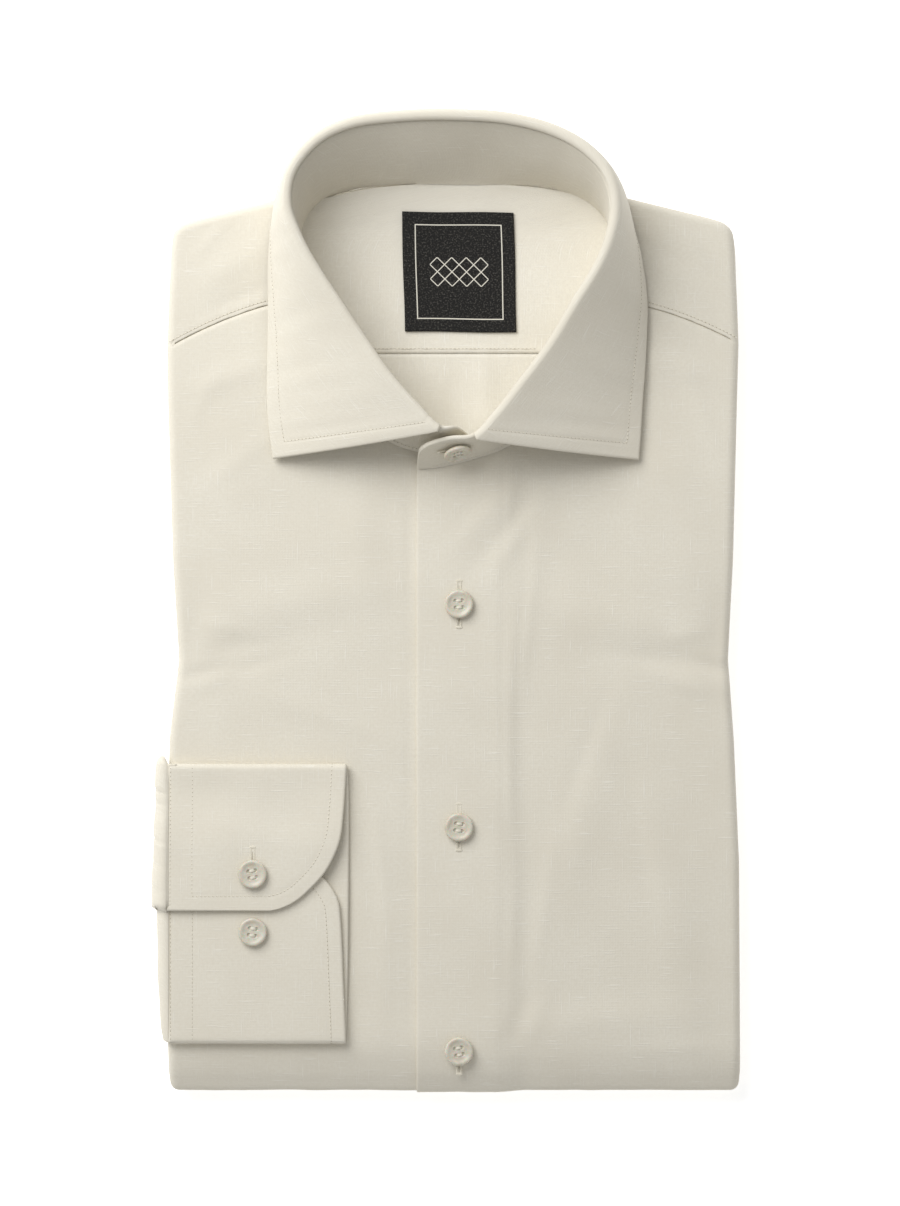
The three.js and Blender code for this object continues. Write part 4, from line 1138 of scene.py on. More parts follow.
def cuff_end(share):
    """Right-hand end of the cuff along its strip: a smooth curve through the table's places."""
    curve = through(np.column_stack([CUFF_END["lap"] * 250, CUFF_END["x"]]), np.linspace(0, 1, 600))
    return np.interp(share, np.maximum.accumulate(curve[:, 0]) / 250, curve[:, 1])


def cuff_border(flat, inset):
    """Line inside the cuff's free border in its flat coordinates: down the right-hand end and back along the
    upper flap's lower border, set in along the border's own normal."""
    line = np.concatenate([flat[:, -1], flat[-1, -2::-1]])
    marks = run_lengths(line, 0)
    even = np.linspace(0, marks[-1], 900)
    line = np.column_stack([np.interp(even, marks, line[:, c]) for c in (0, 1)])
    width = 9
    kernel = np.hanning(width + 2)[1:-1] / np.hanning(width + 2)[1:-1].sum()
    half = width // 2
    padded = np.vstack([2 * line[0] - line[half:0:-1], line, 2 * line[-1] - line[-2:-2 - half:-1]])
    line = np.column_stack([np.convolve(padded[:, c], kernel, "valid") for c in (0, 1)])
    ahead = np.gradient(line, axis=0)
    ahead /= np.linalg.norm(ahead, axis=1, keepdims=True)
    return line + inset * np.column_stack([ahead[:, 1], -ahead[:, 0]])


def cuff_rows(flat, line):
    """Grid places, as fractional rows and columns, of a line given in the cuff's flat coordinates."""
    rows, cols = flat.shape[:2]
    i = np.interp(-line[:, 1], -flat[:, 0, 1], np.arange(rows))
    left, right = (np.interp(i, np.arange(rows), flat[:, k, 0]) for k in (0, -1))
    share = (line[:, 0] - left) / (right - left)
    return i, np.interp(share, easing(50, 70.0), np.arange(cols))


def cuff_lines(flat):
    """The cuff's lines of top-stitching in flat coordinates: round the border and down the sleeve's side."""
    border = cuff_border(flat, CUFF_INSET)
    low, high = flat[-1, 0, 1] + CUFF_INSET, flat[0, 0, 1] - 2.0
    border = border[(border[:, 0] > -101.2) & (border[:, 1] < high)]
    down = np.linspace(high, low, 300)
    upright = [np.column_stack([np.full(300, x), down]) for x in (-109.7, -101.0)]
    upright[0][:, 1] = np.linspace(high, low - CUFF_INSET + 1, 300)
    return [border, *upright]


def build_cuff():
    """Cuff: one two-ply strip wound round from under the flap to the flap on top."""
    mid, flat = cuff_grid()
    places = flat.reshape(-1, 2)
    groove = np.zeros(len(places))
    for line in cuff_lines(flat):
        away = places[:, None] - line[None, ::3]
        gap = np.hypot(away[..., 0], away[..., 1]).min(1)
        groove = np.maximum(groove, 0.14 * bell(gap, 0.6))
    piece = rounded_piece("Cuff_cloth", mid, two_ply() - 0.1, (True, True, True, True),
                          look("linen"), edge=0.9, groove=groove.reshape(mid.shape[:2]), flat=flat)
    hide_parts("cuff")
    return piece


# Left silhouette of the sleeve end, from the top of the page down: its upper ply, then the lower one
SLEEVE_SIDE = table(("y", "x"), [
    (-178, -110.8), (-177, -114), (-169, -114.3), (-158.2, -114.8), (-147.5, -115), (-136.8, -115.3),
    (-125, -115.6), (-123.1, -117.8), (-108.9, -117.5), (-96, -116.9), (-85.3, -116.2), (-72.4, -116.5),
    (-65.4, -116.5), (-62.2, -115.6),
])

SLEEVE_PLEATS = table(("y", "depth"), [
    (-76.9, 0.5), (-81, 0.25), (-96.5, 0.5), (-105.4, 0.28), (-115.2, 0.22),
])


def flap_waves(x, y):
    """Unevenness of the cuff's upper flap: two crossing swells and a soft hollow across it."""
    waves = 0.22 * np.sin(x / 11 + y / 15) + 0.12 * np.sin(x / 5.7 - y / 9)
    return waves - 0.45 * bell(y + 84 + 0.25 * (x + 75), 9) * smoothstep(-x, 40, 60)


def build_sleeve():
    """Lower end of the sleeve: a flattened tube from the side groove round the edge to the cuff, and on for
    3 mm between the cuff's plies. Its outer face swells to the silhouette and is creased at the seam."""
    t = np.linspace(0, 1, 64)
    a = np.pi * (0.5 + t)
    q = np.array([0.35, 0.65, 0.88, 1.0])
    tongue = np.linspace(0, 1, 6)[1:]
    centre_x = TURN_X + TURN_REACH * np.cos(a) * (1 + 0.1 * np.sin(np.pi * t))
    centre_x = np.concatenate([centre_x, TURN_X + 0.75 * q, TURN_X + 0.75 + 2.6 * tongue])
    centre_z = np.concatenate([12.85 - TURN_R * np.sin(a), np.full(4, 18.0), 18.0 + 0.3 * tongue])
    turned = np.concatenate([a, np.full(9, 1.5 * np.pi)])
    place = np.concatenate([t, np.ones(9)])
    normal = np.stack([np.cos(turned), np.zeros_like(turned), -np.sin(turned)], -1)
    thick = np.concatenate([3 + 2.4 * smoothstep(t, 0.3, 1), 0.45 + 4.95 * np.sqrt(1 - q**2),
                            np.full(5, 0.45)])
    high = SLEEVE_TOP_Y - 3 * (1 - place) + 4.4 * np.sin(np.pi * place)
    low = SLEEVE_BOTTOM_Y + 3 * (1 - place)
    middle, half = ((high + low) / 2)[:, None], ((high - low) / 2)[:, None]
    along = np.linspace(1, -1, 112)[1:-1]
    crowded = np.arccos(np.sign(along) * np.abs(along) ** 2.857)
    half_turn = np.unique(np.round(np.concatenate([np.linspace(0, np.pi, 42)[:-1], crowded]), 4))
    b = np.concatenate([half_turn, half_turn + np.pi])
    cos, sin = np.cos(b), np.sin(b)
    y = middle + half * np.sign(cos) * np.abs(cos) ** 0.35
    h = thick[:, None] / 2 * np.sign(sin) * np.abs(sin) ** 0.55
    outer = smoothstep(sin, -0.1, 0.35)
    reach = np.interp(y, SLEEVE_SIDE["y"], -SLEEVE_SIDE["x"]) + TURN_X - 1.1 * TURN_REACH - thick[31] / 2
    bulge = reach * np.sin(np.pi * place**1.5)[:, None] ** 0.8
    slant = y + 6 * (place[:, None] - 0.6)
    pleats = (0.3 * bell(slant + 88, 3.6) - 0.6 * bell(y + 124.0, 0.9)
              + 0.25 * bell(y + 148, 6) + 0.1 * np.sin(slant / 3.1))
    for at, depth in zip(SLEEVE_PLEATS["y"], SLEEVE_PLEATS["depth"]):
        pleats = pleats - depth * bell(slant - at - 3 * place[:, None] * depth, 0.7)
    pleats = pleats * outer * np.sin(np.pi * np.clip(place, 0.05, 0.985))[:, None] ** 0.5
    points = np.stack([np.broadcast_to(centre_x[:, None], y.shape), y,
                       np.broadcast_to(centre_z[:, None], y.shape)], -1)
    points = points + normal[:, None] * (h + bulge * outer + pleats)[..., None]
    # the outer face comes level with the middle of the cuff's plies, and the tongue lies between them
    flap_z = 19.9 + 2.0 * smoothstep(-y, 8 - CUFF_TOP_Y, -6 - CUFF_UNDER_Y)
    level = np.where(y > -123.4, flap_z + flap_waves(points[..., 0], y), 19.5)
    level = level + relief(points[..., 0], y, fine=False) - 0.3 * bell(y + 124.0, 0.8)
    flush = np.concatenate([1.2 * smoothstep(t, 0.6, 1), 1.2 * np.sqrt(1 - q**2), np.zeros(5)])[:, None]
    rise = (level - 20.7) * smoothstep(place, 0.55, 1)[:, None]
    ends = (np.arange(len(place)) >= len(t))[:, None]
    at_end = level + flush - centre_z[:, None] - thick[:, None] / 2
    points[..., 2] += np.where(ends, at_end, (rise + flush) * outer)
    piece = cloth("Sleeve_cloth", points, look("linen"), 0.7, (32, 75, (-1, 0, 0)), wrap=True)
    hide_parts("sleeve")
    return piece


# Hidden layers from below: height, and how far they are set in at the sides, the bottom and the top
STACK = table(("z", "side", "bottom", "top"), [
    (1.8, 9.8, 9, 12),
    (2.8, 9.2, 8.2, 8.6),
    (6.75, 9.2, 7.9, 8.4),
    (6.95, 2.6, 7.9, 2.8),
    (7.7, 1.5, 7.9, 2.2),
    (7.85, 2.3, 7.9, 3.2),
    (8, 1.5, 7.9, 2.4),
    (8.7, 2.4, 7.9, 3.2),
    (8.9, 7.8, 7.9, 6.4),
    (12.5, 8.2, 9.4, 7.2),
])
CORNER_R = 14.0


def bundle_outline():
    """Outline of the bundle seen from above with well-rounded corners, counter-clockwise, and its outward
    directions: straight runs joined by quadratic corners."""
    keep = (SIDES["y"] > BOTTOM_Y + 2 * CORNER_R) & (SIDES["y"] < 140)
    ys, lefts, rights = SIDES["y"][keep], SIDES["left"][keep], SIDES["right"][keep]
    corners = [(left_edge(BOTTOM_Y), BOTTOM_Y, CORNER_R), (0, BOTTOM_Y - 0.3, 0),
               (right_edge(BOTTOM_Y), BOTTOM_Y, CORNER_R)]
    corners += [(x, y, 0) for x, y in zip(rights, ys)]
    corners += [(115.4, 151.3, CORNER_R), (37.8, 169.2, CORNER_R), (3.8, 170.8, 0), (-29.4, 169, CORNER_R),
                (-109.3, 150.1, CORNER_R)]
    corners += [(x, y, 0) for x, y in zip(lefts[::-1], ys[::-1])]
    spots = np.array(corners, float)
    loop = []
    for k, (x, y, r) in enumerate(spots):
        at = np.array([x, y])
        if not r:
            loop.append(at[None])
            continue
        ends = []
        for other in (spots[k - 1, :2], spots[(k + 1) % len(spots), :2]):
            d = other - at
            ends.append(at + d / np.linalg.norm(d) * r)
        t = np.linspace(0, 1, 7)[:, None]
        loop.append((1 - t) ** 2 * ends[0] + 2 * t * (1 - t) * at + t**2 * ends[1])
    loop = np.concatenate(loop)
    s = np.concatenate([[0], np.cumsum(np.linalg.norm(np.diff(np.vstack([loop, loop[:1]]), axis=0), axis=1))])
    marks = np.linspace(0, s[-1], 480, endpoint=False)
    closed = np.vstack([loop, loop[:1]])
    fine = np.column_stack([np.interp(marks, s, closed[:, 0]), np.interp(marks, s, closed[:, 1])])
    step = np.roll(fine, -1, 0) - np.roll(fine, 1, 0)
    out = np.column_stack([step[:, 1], -step[:, 0]])
    return fine, out / np.linalg.norm(out, axis=1, keepdims=True)


def build_layers():
    """Hidden layers between the upper and lower cloth, their plies showing in the groove round the sides."""
    outline, out = bundle_outline()
    levels = np.linspace(STACK["z"][0], STACK["z"][-1], 60)
    side, bottom, top = (np.interp(levels, STACK["z"], STACK[k])[:, None] for k in ("side", "bottom", "top"))
    ply = 0.25 * np.abs(np.sin(levels * np.pi / 1.1))[:, None]
    ends = np.where(out[None, :, 1] > 0, top, bottom)
    x = outline[None, :, 0] - out[None, :, 0] * (side + ply)
    y = outline[None, :, 1] - out[None, :, 1] * (ends + ply)
    rings = np.stack([x, y, np.broadcast_to(levels[:, None], x.shape)], -1)
    centre = np.array([3.0, -12.0])
    shrink = np.array([0.75, 0.45, 0.15])[:, None, None]
    cap = lambda ring: np.concatenate([centre + (ring[None, :, :2] - centre) * shrink,
                                       np.full((3, len(ring), 1), ring[0, 2])], -1)
    points = np.concatenate([cap(rings[0])[::-1], rings, cap(rings[-1])])
    rows, cols = points.shape[:2]
    faces = grid_faces(rows, cols, wrap=True)
    normal = normals_of(points)[rows // 2, 100]
    if np.dot(normal[:2], out[100]) < 0:
        faces = faces[:, ::-1]
    piece = mesh_object("Hidden_layers_cloth", to_frame(points.reshape(-1, 3)), faces)
    piece.data.materials.append(look("inside"))
    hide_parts("folded_layers")
    return piece


def span_at(y, inset):
    """Left and right ends of the bundle at heights of the page, set in by a distance."""
    outline, out = bundle_outline()
    loop = outline - out * inset
    left = loop[:, 0] < 0
    by = lambda part: part[np.argsort(part[:, 1])]
    a, b = by(loop[left]), by(loop[~left])
    return np.interp(y, a[:, 1], a[:, 0]), np.interp(y, b[:, 1], b[:, 0])


def inner_relief(x, y):
    """Soft upright pleat in the back panel, seen inside the neck, and the cloth's unevenness there."""
    window = (smoothstep(y, 62, 74) * (1 - smoothstep(y, 86, 105))
              * (1 - smoothstep(np.abs(x - 5), 16, 30)))
    pleat = bell(x - 16, 4.5) - 0.5 * bell(x - 3, 4)
    return 0.9 * window * pleat + 0.6 * ripple(x, y) * smoothstep(y, 50, 70)


def build_inner_panel(name, node, from_y, to_y):
    """Inner yoke or back panel: a flat ply under the neck, from one height of the page to another."""
    rows = int(abs(to_y - from_y) / 1.5) + 2
    y = np.linspace(from_y, to_y, rows)
    left, right = span_at(y, 3.6)
    s = np.linspace(0, 1, 96)[None, :]
    x = left[:, None] + (right - left)[:, None] * s
    ys = np.broadcast_to(y[:, None], x.shape)
    seam = np.where(node == "yoke_inner", 1.0, 0.0)
    edge_fold = 0.22 * seam * bell(ys - from_y, 2.6)
    pucker = 0.12 * np.sin(x / 1.1 + 1.4 * np.sin(x / 5)) * bell(ys - 98.4, 5)
    z = PANEL_TOP + inner_relief(x, ys) + edge_fold + pucker
    # paler inside linen: painted light against the collar's shade
    piece = cloth(name, np.stack([x, ys, z], -1), look("inside"), 0.8,
                  (rows // 2, 48, (0, 0, 1)))
    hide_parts(node)
    return piece


def build_label():
    """Woven label sewn inside the inner yoke, its cut sides folded under."""
    w, h = LABEL["width"], LABEL["height"]
    s = easing(40, w) * w - w / 2
    t = easing(40, h) * h - h / 2
    x, y = np.meshgrid(s, t)
    wide = 1 + 0.006 * np.sin(y / 7.5 + 0.8)
    tall = 1 + 0.005 * np.sin(x / 6.0)
    px, py = LABEL["x"] + x * wide + y * LABEL["lean"], LABEL["y"] + y * tall + x * LABEL["fall"]
    z = PANEL_TOP + inner_relief(px, py) + 0.75 + 0.12 * np.sin(px / 7.0 + 1) * np.sin(py / 9.0)
    mid = np.stack([px, py, z], -1)
    piece = rounded_piece("Neck_label_cloth", mid, 0.8, (True, True, True, True), look("label"),
                          edge=0.5)
    uv = np.stack([x, y], -1).reshape(-1, 2) / 1000
    loops = np.zeros(len(piece.data.loops), int)
    piece.data.loops.foreach_get("vertex_index", loops)
    both = np.concatenate([uv, uv])[loops].astype(np.float32)
    piece.data.uv_layers["cloth"].data.foreach_set("uv", both.ravel())
    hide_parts("neck_label")
    return piece


# Button: radius and height of its upper face, in millimetres
BUTTON_TOP = table(("r", "z"), [
    (0, 1.78), (2.4, 1.8), (3.3, 1.88), (3.9, 2.06), (4.4, 2.26), (4.85, 2.34), (5.25, 2.24), (5.6, 1.95),
    (5.7, 1.55), (5.55, 1.1), (5.0, 0.55), (4.3, 0.25), (3.4, 0.1), (0, 0.05),
])
HOLE_AT = 1.375
HOLE_R = 0.72


def button_mesh():
    """A four-hole button: a turned profile on a polar grid, its upper face sunk in four round wells."""
    outward = np.unique(np.concatenate([np.linspace(0.12, 3.1, 34), np.linspace(3.1, 5.7, 14)]))
    profile_s = np.concatenate([[0], np.cumsum(np.hypot(np.diff(BUTTON_TOP["r"]), np.diff(BUTTON_TOP["z"])))])
    top_s = np.interp(outward, BUTTON_TOP["r"][:9], profile_s[:9])
    rest = np.linspace(profile_s[8], profile_s[-1], 18)[1:-1]
    s = np.concatenate([top_s, rest])
    r = np.interp(s, profile_s, BUTTON_TOP["r"])
    z = np.interp(s, profile_s, BUTTON_TOP["z"])
    a = np.linspace(0, 2 * np.pi, 112, endpoint=False)
    x, y = r[:, None] * np.cos(a), r[:, None] * np.sin(a)
    height = np.broadcast_to(z[:, None], x.shape).copy()
    d = np.hypot(np.abs(x) - HOLE_AT, np.abs(y) - HOLE_AT)
    well = 1 - smoothstep(d, HOLE_R - 0.16, HOLE_R + 0.1)
    upper = (np.arange(len(s)) < len(top_s))[:, None]
    height -= np.where(upper, 0.55 * well, 0)
    rings = np.stack([x, y, height], -1)
    rows, cols = rings.shape[:2]
    vertices = np.concatenate([rings.reshape(-1, 3), [[0, 0, z[0]], [0, 0, z[-1]]]])
    quads = grid_faces(rows, cols, wrap=True)
    k = np.arange(cols)
    n = (k + 1) % cols
    first = np.stack([np.full(cols, rows * cols), k, n], -1)
    last = np.stack([np.full(cols, rows * cols + 1), (rows - 1) * cols + n, (rows - 1) * cols + k], -1)
    triangles = np.concatenate([quads[:, [0, 1, 2]], quads[:, [0, 2, 3]], first, last])
    return vertices, triangles


def button_thread():
    """Sewing cotton over a button: two rows of three strands between its holes, a little slack."""
    starts, ends = [], []
    for row in (-1, 1):
        for shift in (-0.26, 0.0, 0.26):
            starts.append((-HOLE_AT, row * HOLE_AT + shift, 1.3))
            ends.append((HOLE_AT, row * HOLE_AT + shift * 0.8, 1.3))
    up = np.tile([0, 0, 1.0], (len(starts), 1))
    return bars(np.array(starts), np.array(ends), up, 0.25, 0.75)


def place_button(node, centre, axes, turn):
    """One button and its thread at a place; axes are its own X, Y and Z directions."""
    rotate = np.array([[math.cos(turn), -math.sin(turn), 0], [math.sin(turn), math.cos(turn), 0], [0, 0, 1]])
    frame_axes = np.asarray(axes, float)
    put = lambda points: (points @ rotate.T) @ frame_axes + centre
    vertices, faces = button_mesh()
    title = node.capitalize() + "_stock"
    piece = mesh_object(title, to_frame(put(vertices)), faces)
    piece.data.materials.append(look("button"))
    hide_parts(node)
    vertices, faces = button_thread()
    thread = mesh_object(f"{title}_thread", to_frame(put(vertices)), faces)
    thread.data.materials.append(look("thread"))
    return piece


def lap_axes():
    """Directions of the collar stand's lap where its button sits, and the button's place on it."""
    station = np.array([26.75])
    seam = seam_at(station)[0]
    seam[2] = 18.4
    top = top_at(station)[0]
    up = (top - seam) / np.linalg.norm(top - seam)
    across = seam_at(np.array([27.2]))[0] - seam_at(np.array([26.3]))[0]
    across[2] = 0
    across /= np.linalg.norm(across)
    out = np.cross(up, across)
    out /= np.linalg.norm(out)
    if out[1] > 0:
        out = -out
    side = np.cross(up, out)
    return np.array([side, up, out]), seam + (top - seam) * 0.58 + out * (1.0 + 0.35)


def build_buttons():
    """Six buttons: three down the front, one on the collar stand's lap and two on the cuff."""
    flat = np.eye(3)
    for k, (x, y) in enumerate(FRONT_BUTTONS):
        dx, dy = np.meshgrid([-4, 0, 4], [-4, 0, 4])
        seat = float(np.max(top_face(x + dx, y + dy)))
        place_button(f"front_button_{k + 1}", np.array([x, y, seat + 0.25]), flat, FRONT_TURNS[k])
    axes, centre = lap_axes()
    place_button("collar_button", centre, axes, 0.1)
    for k, ((x, y), z) in enumerate(zip(CUFF_BUTTONS, CUFF_BUTTON_Z)):
        place_button(f"cuff_button_{k + 1}", np.array([x, y, z]), flat, 0.15 - 0.3 * k)


def buttonhole(centre, along, up, length, width, slit=0.45, pitch=0.42):
    """A worked buttonhole: close satin stitches on both sides of a slit and a bar tack at each end."""
    along, up = np.asarray(along, float), np.asarray(up, float)
    across = np.cross(up, along)
    count = int(length / pitch)
    s = (np.arange(count) + 0.5) * pitch - length / 2
    middle = np.asarray(centre) + s[:, None] * along
    ups = np.tile(up, (count, 1))
    parts = []
    for side in (-1, 1):
        near, far = middle + across * side * slit / 2, middle + across * side * width / 2
        parts.append(bars(near, far, ups, 0.2, 0.1))
    tack = np.linspace(-width / 2 + 0.2, width / 2 - 0.2, 8)
    for end in (-1, 1):
        at = np.asarray(centre) + end * (length / 2) * along + tack[:, None] * across
        round_end = along * (0.8 * np.sqrt(1 - (tack / (width / 2)) ** 2))[:, None]
        parts.append(bars(at - round_end, at + round_end, np.tile(up, (8, 1)), 0.2, 0.16))
    return joined(parts)


def skin_run(mid, sink, i, j, facing):
    """Path and up directions of a line of grid places on a two-ply piece, on the face that looks up at one
    place and sunk under it."""
    normals = normals_of(mid)
    sign = 1.0 if normals[facing][2] > 0 else -1.0
    points, normal = read_grid(mid, i, j), read_grid(normals, i, j) * sign
    normal /= np.linalg.norm(normal, axis=1, keepdims=True)
    return points + normal * (two_ply() / 2 - sink), normal


def leaf_run():
    """One line round the leaf's three free edges, along the sunk line of its cloth."""
    mid = leaf_grid()
    rows, cols = mid.shape[:2]
    down, over = run_lengths(mid, 0), run_lengths(mid, 1)
    number = np.arange(cols)
    beside = np.array([np.interp(over[r, -1] - LEAF_INSET, over[r], number) for r in range(rows)])
    first = np.array([np.interp(LEAF_INSET, down[:, c], np.arange(rows)) for c in range(cols)])
    last = np.array([np.interp(down[-1, c] - LEAF_INSET, down[:, c], np.arange(rows)) for c in range(cols)])
    from_row, to_row = int(first[-12]) + 1, int(last[-12])
    across = number[(number >= 12) & (number < beside[from_row])]
    i = np.concatenate([first[across], np.arange(from_row, to_row), last[across[::-1]]])
    j = np.concatenate([across, beside[from_row:to_row], across[::-1]])
    return skin_run(mid, 0.2, i, j, (80, 30))


def stand_run():
    """One line along the foot of the collar stand, on its outer face."""
    station = np.linspace(0.4, LAST_STATION - 0.3, 700)
    t = np.linspace(0, 1, 60)
    mid = stand_middle(np.broadcast_to(station[:, None], (700, 60)), np.broadcast_to(t, (700, 60)))
    rise = run_lengths(mid, 1)
    j = np.array([np.interp(1.9, rise[r], np.arange(60)) for r in range(700)])
    points, normal = read_grid(mid, np.arange(700.0), j), read_grid(normals_of(mid), np.arange(700.0), j)
    normal /= np.linalg.norm(normal, axis=1, keepdims=True)
    if np.dot(normal[350], away_from_neck(seam_at, station)[350]) < 0:
        normal = -normal
    return points + normal * (two_ply() / 2 - 0.1), normal


def cuff_runs():
    """Lines round the cuff's border and beside the sleeve."""
    mid, flat = cuff_grid()
    return [skin_run(mid, 0.2, *cuff_rows(flat, line), (len(mid) // 12, 25)) for line in cuff_lines(flat)]


def seam_runs():
    """Lines above both yoke seams and above the back yoke seam inside the neck."""
    runs = []
    up = np.tile([0, 0, 1.0], (160, 1))
    for side in (-1, 1):
        line = yoke_seam(side, np.linspace(0.02, 0.99, 160))
        x, y = line[:, 0], line[:, 1] + 1.9
        runs.append((np.column_stack([x, y, TOP + relief(x, y) + seam_pucker(x, y) + 0.02]), up))
    x, y = np.linspace(-30, 36, 160), np.full(160, 100.4)
    z = PANEL_TOP + inner_relief(x, y) + 0.22 * bell(1.9, 2.6) + 0.02
    runs.append((np.column_stack([x, y, z]), up))
    return runs


def buttonholes():
    """Worked buttonholes under the three front buttons, under the upper cuff button and in the stand's lap:
    the satin stitches and, apart, a dark bar in each slit between them: painted shade for the cut."""
    parts, slit_shade_bars = [], []

    def worked(centre, along, up, length, width):
        parts.append(buttonhole(centre, along, up, length, width))
        along, up, centre = np.asarray(along, float), np.asarray(up, float), np.asarray(centre, float)
        # a dark bar along the slit: painted shade in the cut
        half = along * (length / 2 - 0.4)
        slit_shade_bars.append(bars((centre - half)[None], (centre + half)[None], up[None], 0.2, 0.0))

    for x, y in FRONT_BUTTONS:
        z = float(top_face(np.array([x]), np.array([y]))[0]) - 0.06
        worked((x, y, z), (0, 1, 0), (0, 0, 1), 18.6, 2.6)
    mid, flat = cuff_grid()
    place = np.argmin(np.hypot(mid[..., 0] - CUFF_BUTTONS[0][0], mid[..., 1] - CUFF_HOLE_Y)
                      + 100 * (flat[..., 1] > flat[-1, 0, 1] + 60))
    z = mid.reshape(-1, 3)[place, 2] + two_ply() / 2 - 0.12
    worked((CUFF_BUTTONS[0][0], CUFF_HOLE_Y, z), (0, 1, 0), (0, 0, 1), 14.6, 2.4)
    axes, centre = lap_axes()
    worked(centre - axes[2] * 0.42 - axes[0] * 0.6, axes[0], axes[2], 13.0, 2.4)
    return parts, slit_shade_bars


def build_stitching():
    """All sewing that stands on the cloth: the threads as one piece, and as another the painted shade where
    they dive into it: dark beads in the needle holes and dark bars in the buttonhole slits."""
    sizes = bpy.context.scene.shirt_sizes
    pitch, length, radius = sizes.stitch_pitch * 1000, sizes.stitch_length * 1000, sizes.thread_width * 500
    runs = [leaf_run(), stand_run(), *cuff_runs(), *seam_runs()]
    threads = [stitch_line(path, up, pitch, length, radius, 0.1) for path, up in runs]
    # painted shade: dark beads in the gaps between stitches, for the shadow where the thread dives into the
    # cloth
    needle_shade_beads = [stitch_line(path + up * 0.1, up, pitch, pitch - length, 0.8 * radius, 0.02, first=0.4 + length)
               for path, up in runs]
    worked, slit_shade_bars = buttonholes()
    for name, parts, finish in (("Stitching", threads + worked, "thread"),
                                ("Needle_holes_painted_shade", needle_shade_beads + slit_shade_bars, "painted_needle_shade")):
        vertices, faces = joined(parts)
        piece = mesh_object(name, to_frame(vertices), faces)
        piece.data.materials.append(look(finish))


# Stage, light and camera


# Paper in metres; camera: sensor, distance from the cloth, height of the picture there (1206 pixels of
# 0.4 mm) and place over the pattern in millimetres, and its height over the table in metres
PAPER_HALF, PAPER_Z = 3, -0.0004
SENSOR, CLOTH_AWAY, PICTURE_HEIGHT = 36, 1584, 482.4
CAMERA_X, CAMERA_Y, CAMERA_UP = 1.8, -1.4, 1.6


def build_stage():
    """White paper under the shirt, one large soft light from the upper left, fill from all round, and the
    camera straight above at the photo's distance."""
    scene = bpy.context.scene
    light = scene.shirt_light
    paper = bpy.data.meshes.new("Background_paper")
    corners = [(x * PAPER_HALF, y * PAPER_HALF, PAPER_Z) for x, y in ((-1, -1), (1, -1), (1, 1), (-1, 1))]
    paper.from_pydata(corners, [], [(0, 1, 2, 3)])
    floor = bpy.data.objects.new("Background_paper", paper)
    paper.materials.append(look("paper"))
    scene.collection.objects.link(floor)
    key = bpy.data.lights.new("Key_softbox", "AREA")
    key.shape = "RECTANGLE"
    key.size = key.size_y = light.key_size
    key.energy = light.key_power
    key_lamp = bpy.data.objects.new("Key_softbox", key)
    level = light.key_distance * math.cos(light.key_height)
    key_lamp.location = (-level * math.sin(light.key_turn), level * math.cos(light.key_turn),
                         light.key_distance * math.sin(light.key_height))
    key_lamp.rotation_euler = (-key_lamp.location).to_track_quat("-Z", "Y").to_euler()
    scene.collection.objects.link(key_lamp)
    world = bpy.data.worlds.new("Studio fill")
    world.use_nodes = True
    world.node_tree.nodes["Background"].inputs["Color"].default_value = (1, 1, 1, 1)
    world.node_tree.nodes["Background"].inputs["Strength"].default_value = light.fill
    scene.world = world
    camera = bpy.data.cameras.new("Camera")
    camera.sensor_width = SENSOR
    camera.sensor_fit = "AUTO"
    camera.lens = SENSOR * CLOTH_AWAY / PICTURE_HEIGHT
    camera.clip_end = 20
    eye = bpy.data.objects.new("Camera", camera)
    eye.location = ((CAMERA_X + SHIFT[0]) / 1000, (CAMERA_Y + SHIFT[1]) / 1000, CAMERA_UP)
    scene.collection.objects.link(eye)
    scene.camera = eye
    scene.view_settings.view_transform = "Standard"


# Settings, operators and panel


class ShirtSizes(PropertyGroup):
    """Sizes of the cloth and the sewing."""

    ply: FloatProperty(name="Single ply", description="Thickness of one ply of linen", default=0.00075,
                       min=0.0003, max=0.0012, precision=5, unit="LENGTH", subtype="DISTANCE")
    faced: FloatProperty(name="Faced piece", default=0.0019,
                         description="Thickness of collar and cuff with their interlining",
                         min=0.001, max=0.002, precision=5, unit="LENGTH", subtype="DISTANCE")
    thread_spacing: FloatProperty(name="Weave", description="Spacing of the drawn threads, coarser than life",
                                  default=0.0011, min=0.0004, max=0.003, precision=5, unit="LENGTH",
                                  subtype="DISTANCE")
    stitch_pitch: FloatProperty(name="Stitch pitch", description="From one stitch to the next",
                                default=0.0016, min=0.001, max=0.004, precision=5, unit="LENGTH",
                                subtype="DISTANCE")
    stitch_length: FloatProperty(name="Stitch length", description="Visible length of a stitch",
                                 default=0.00115, min=0.0006, max=0.003, precision=5, unit="LENGTH",
                                 subtype="DISTANCE")
    thread_width: FloatProperty(name="Sewing thread", description="Width of the sewing thread",
                                default=0.00032, min=0.0001, max=0.0006, precision=5, unit="LENGTH",
                                subtype="DISTANCE")


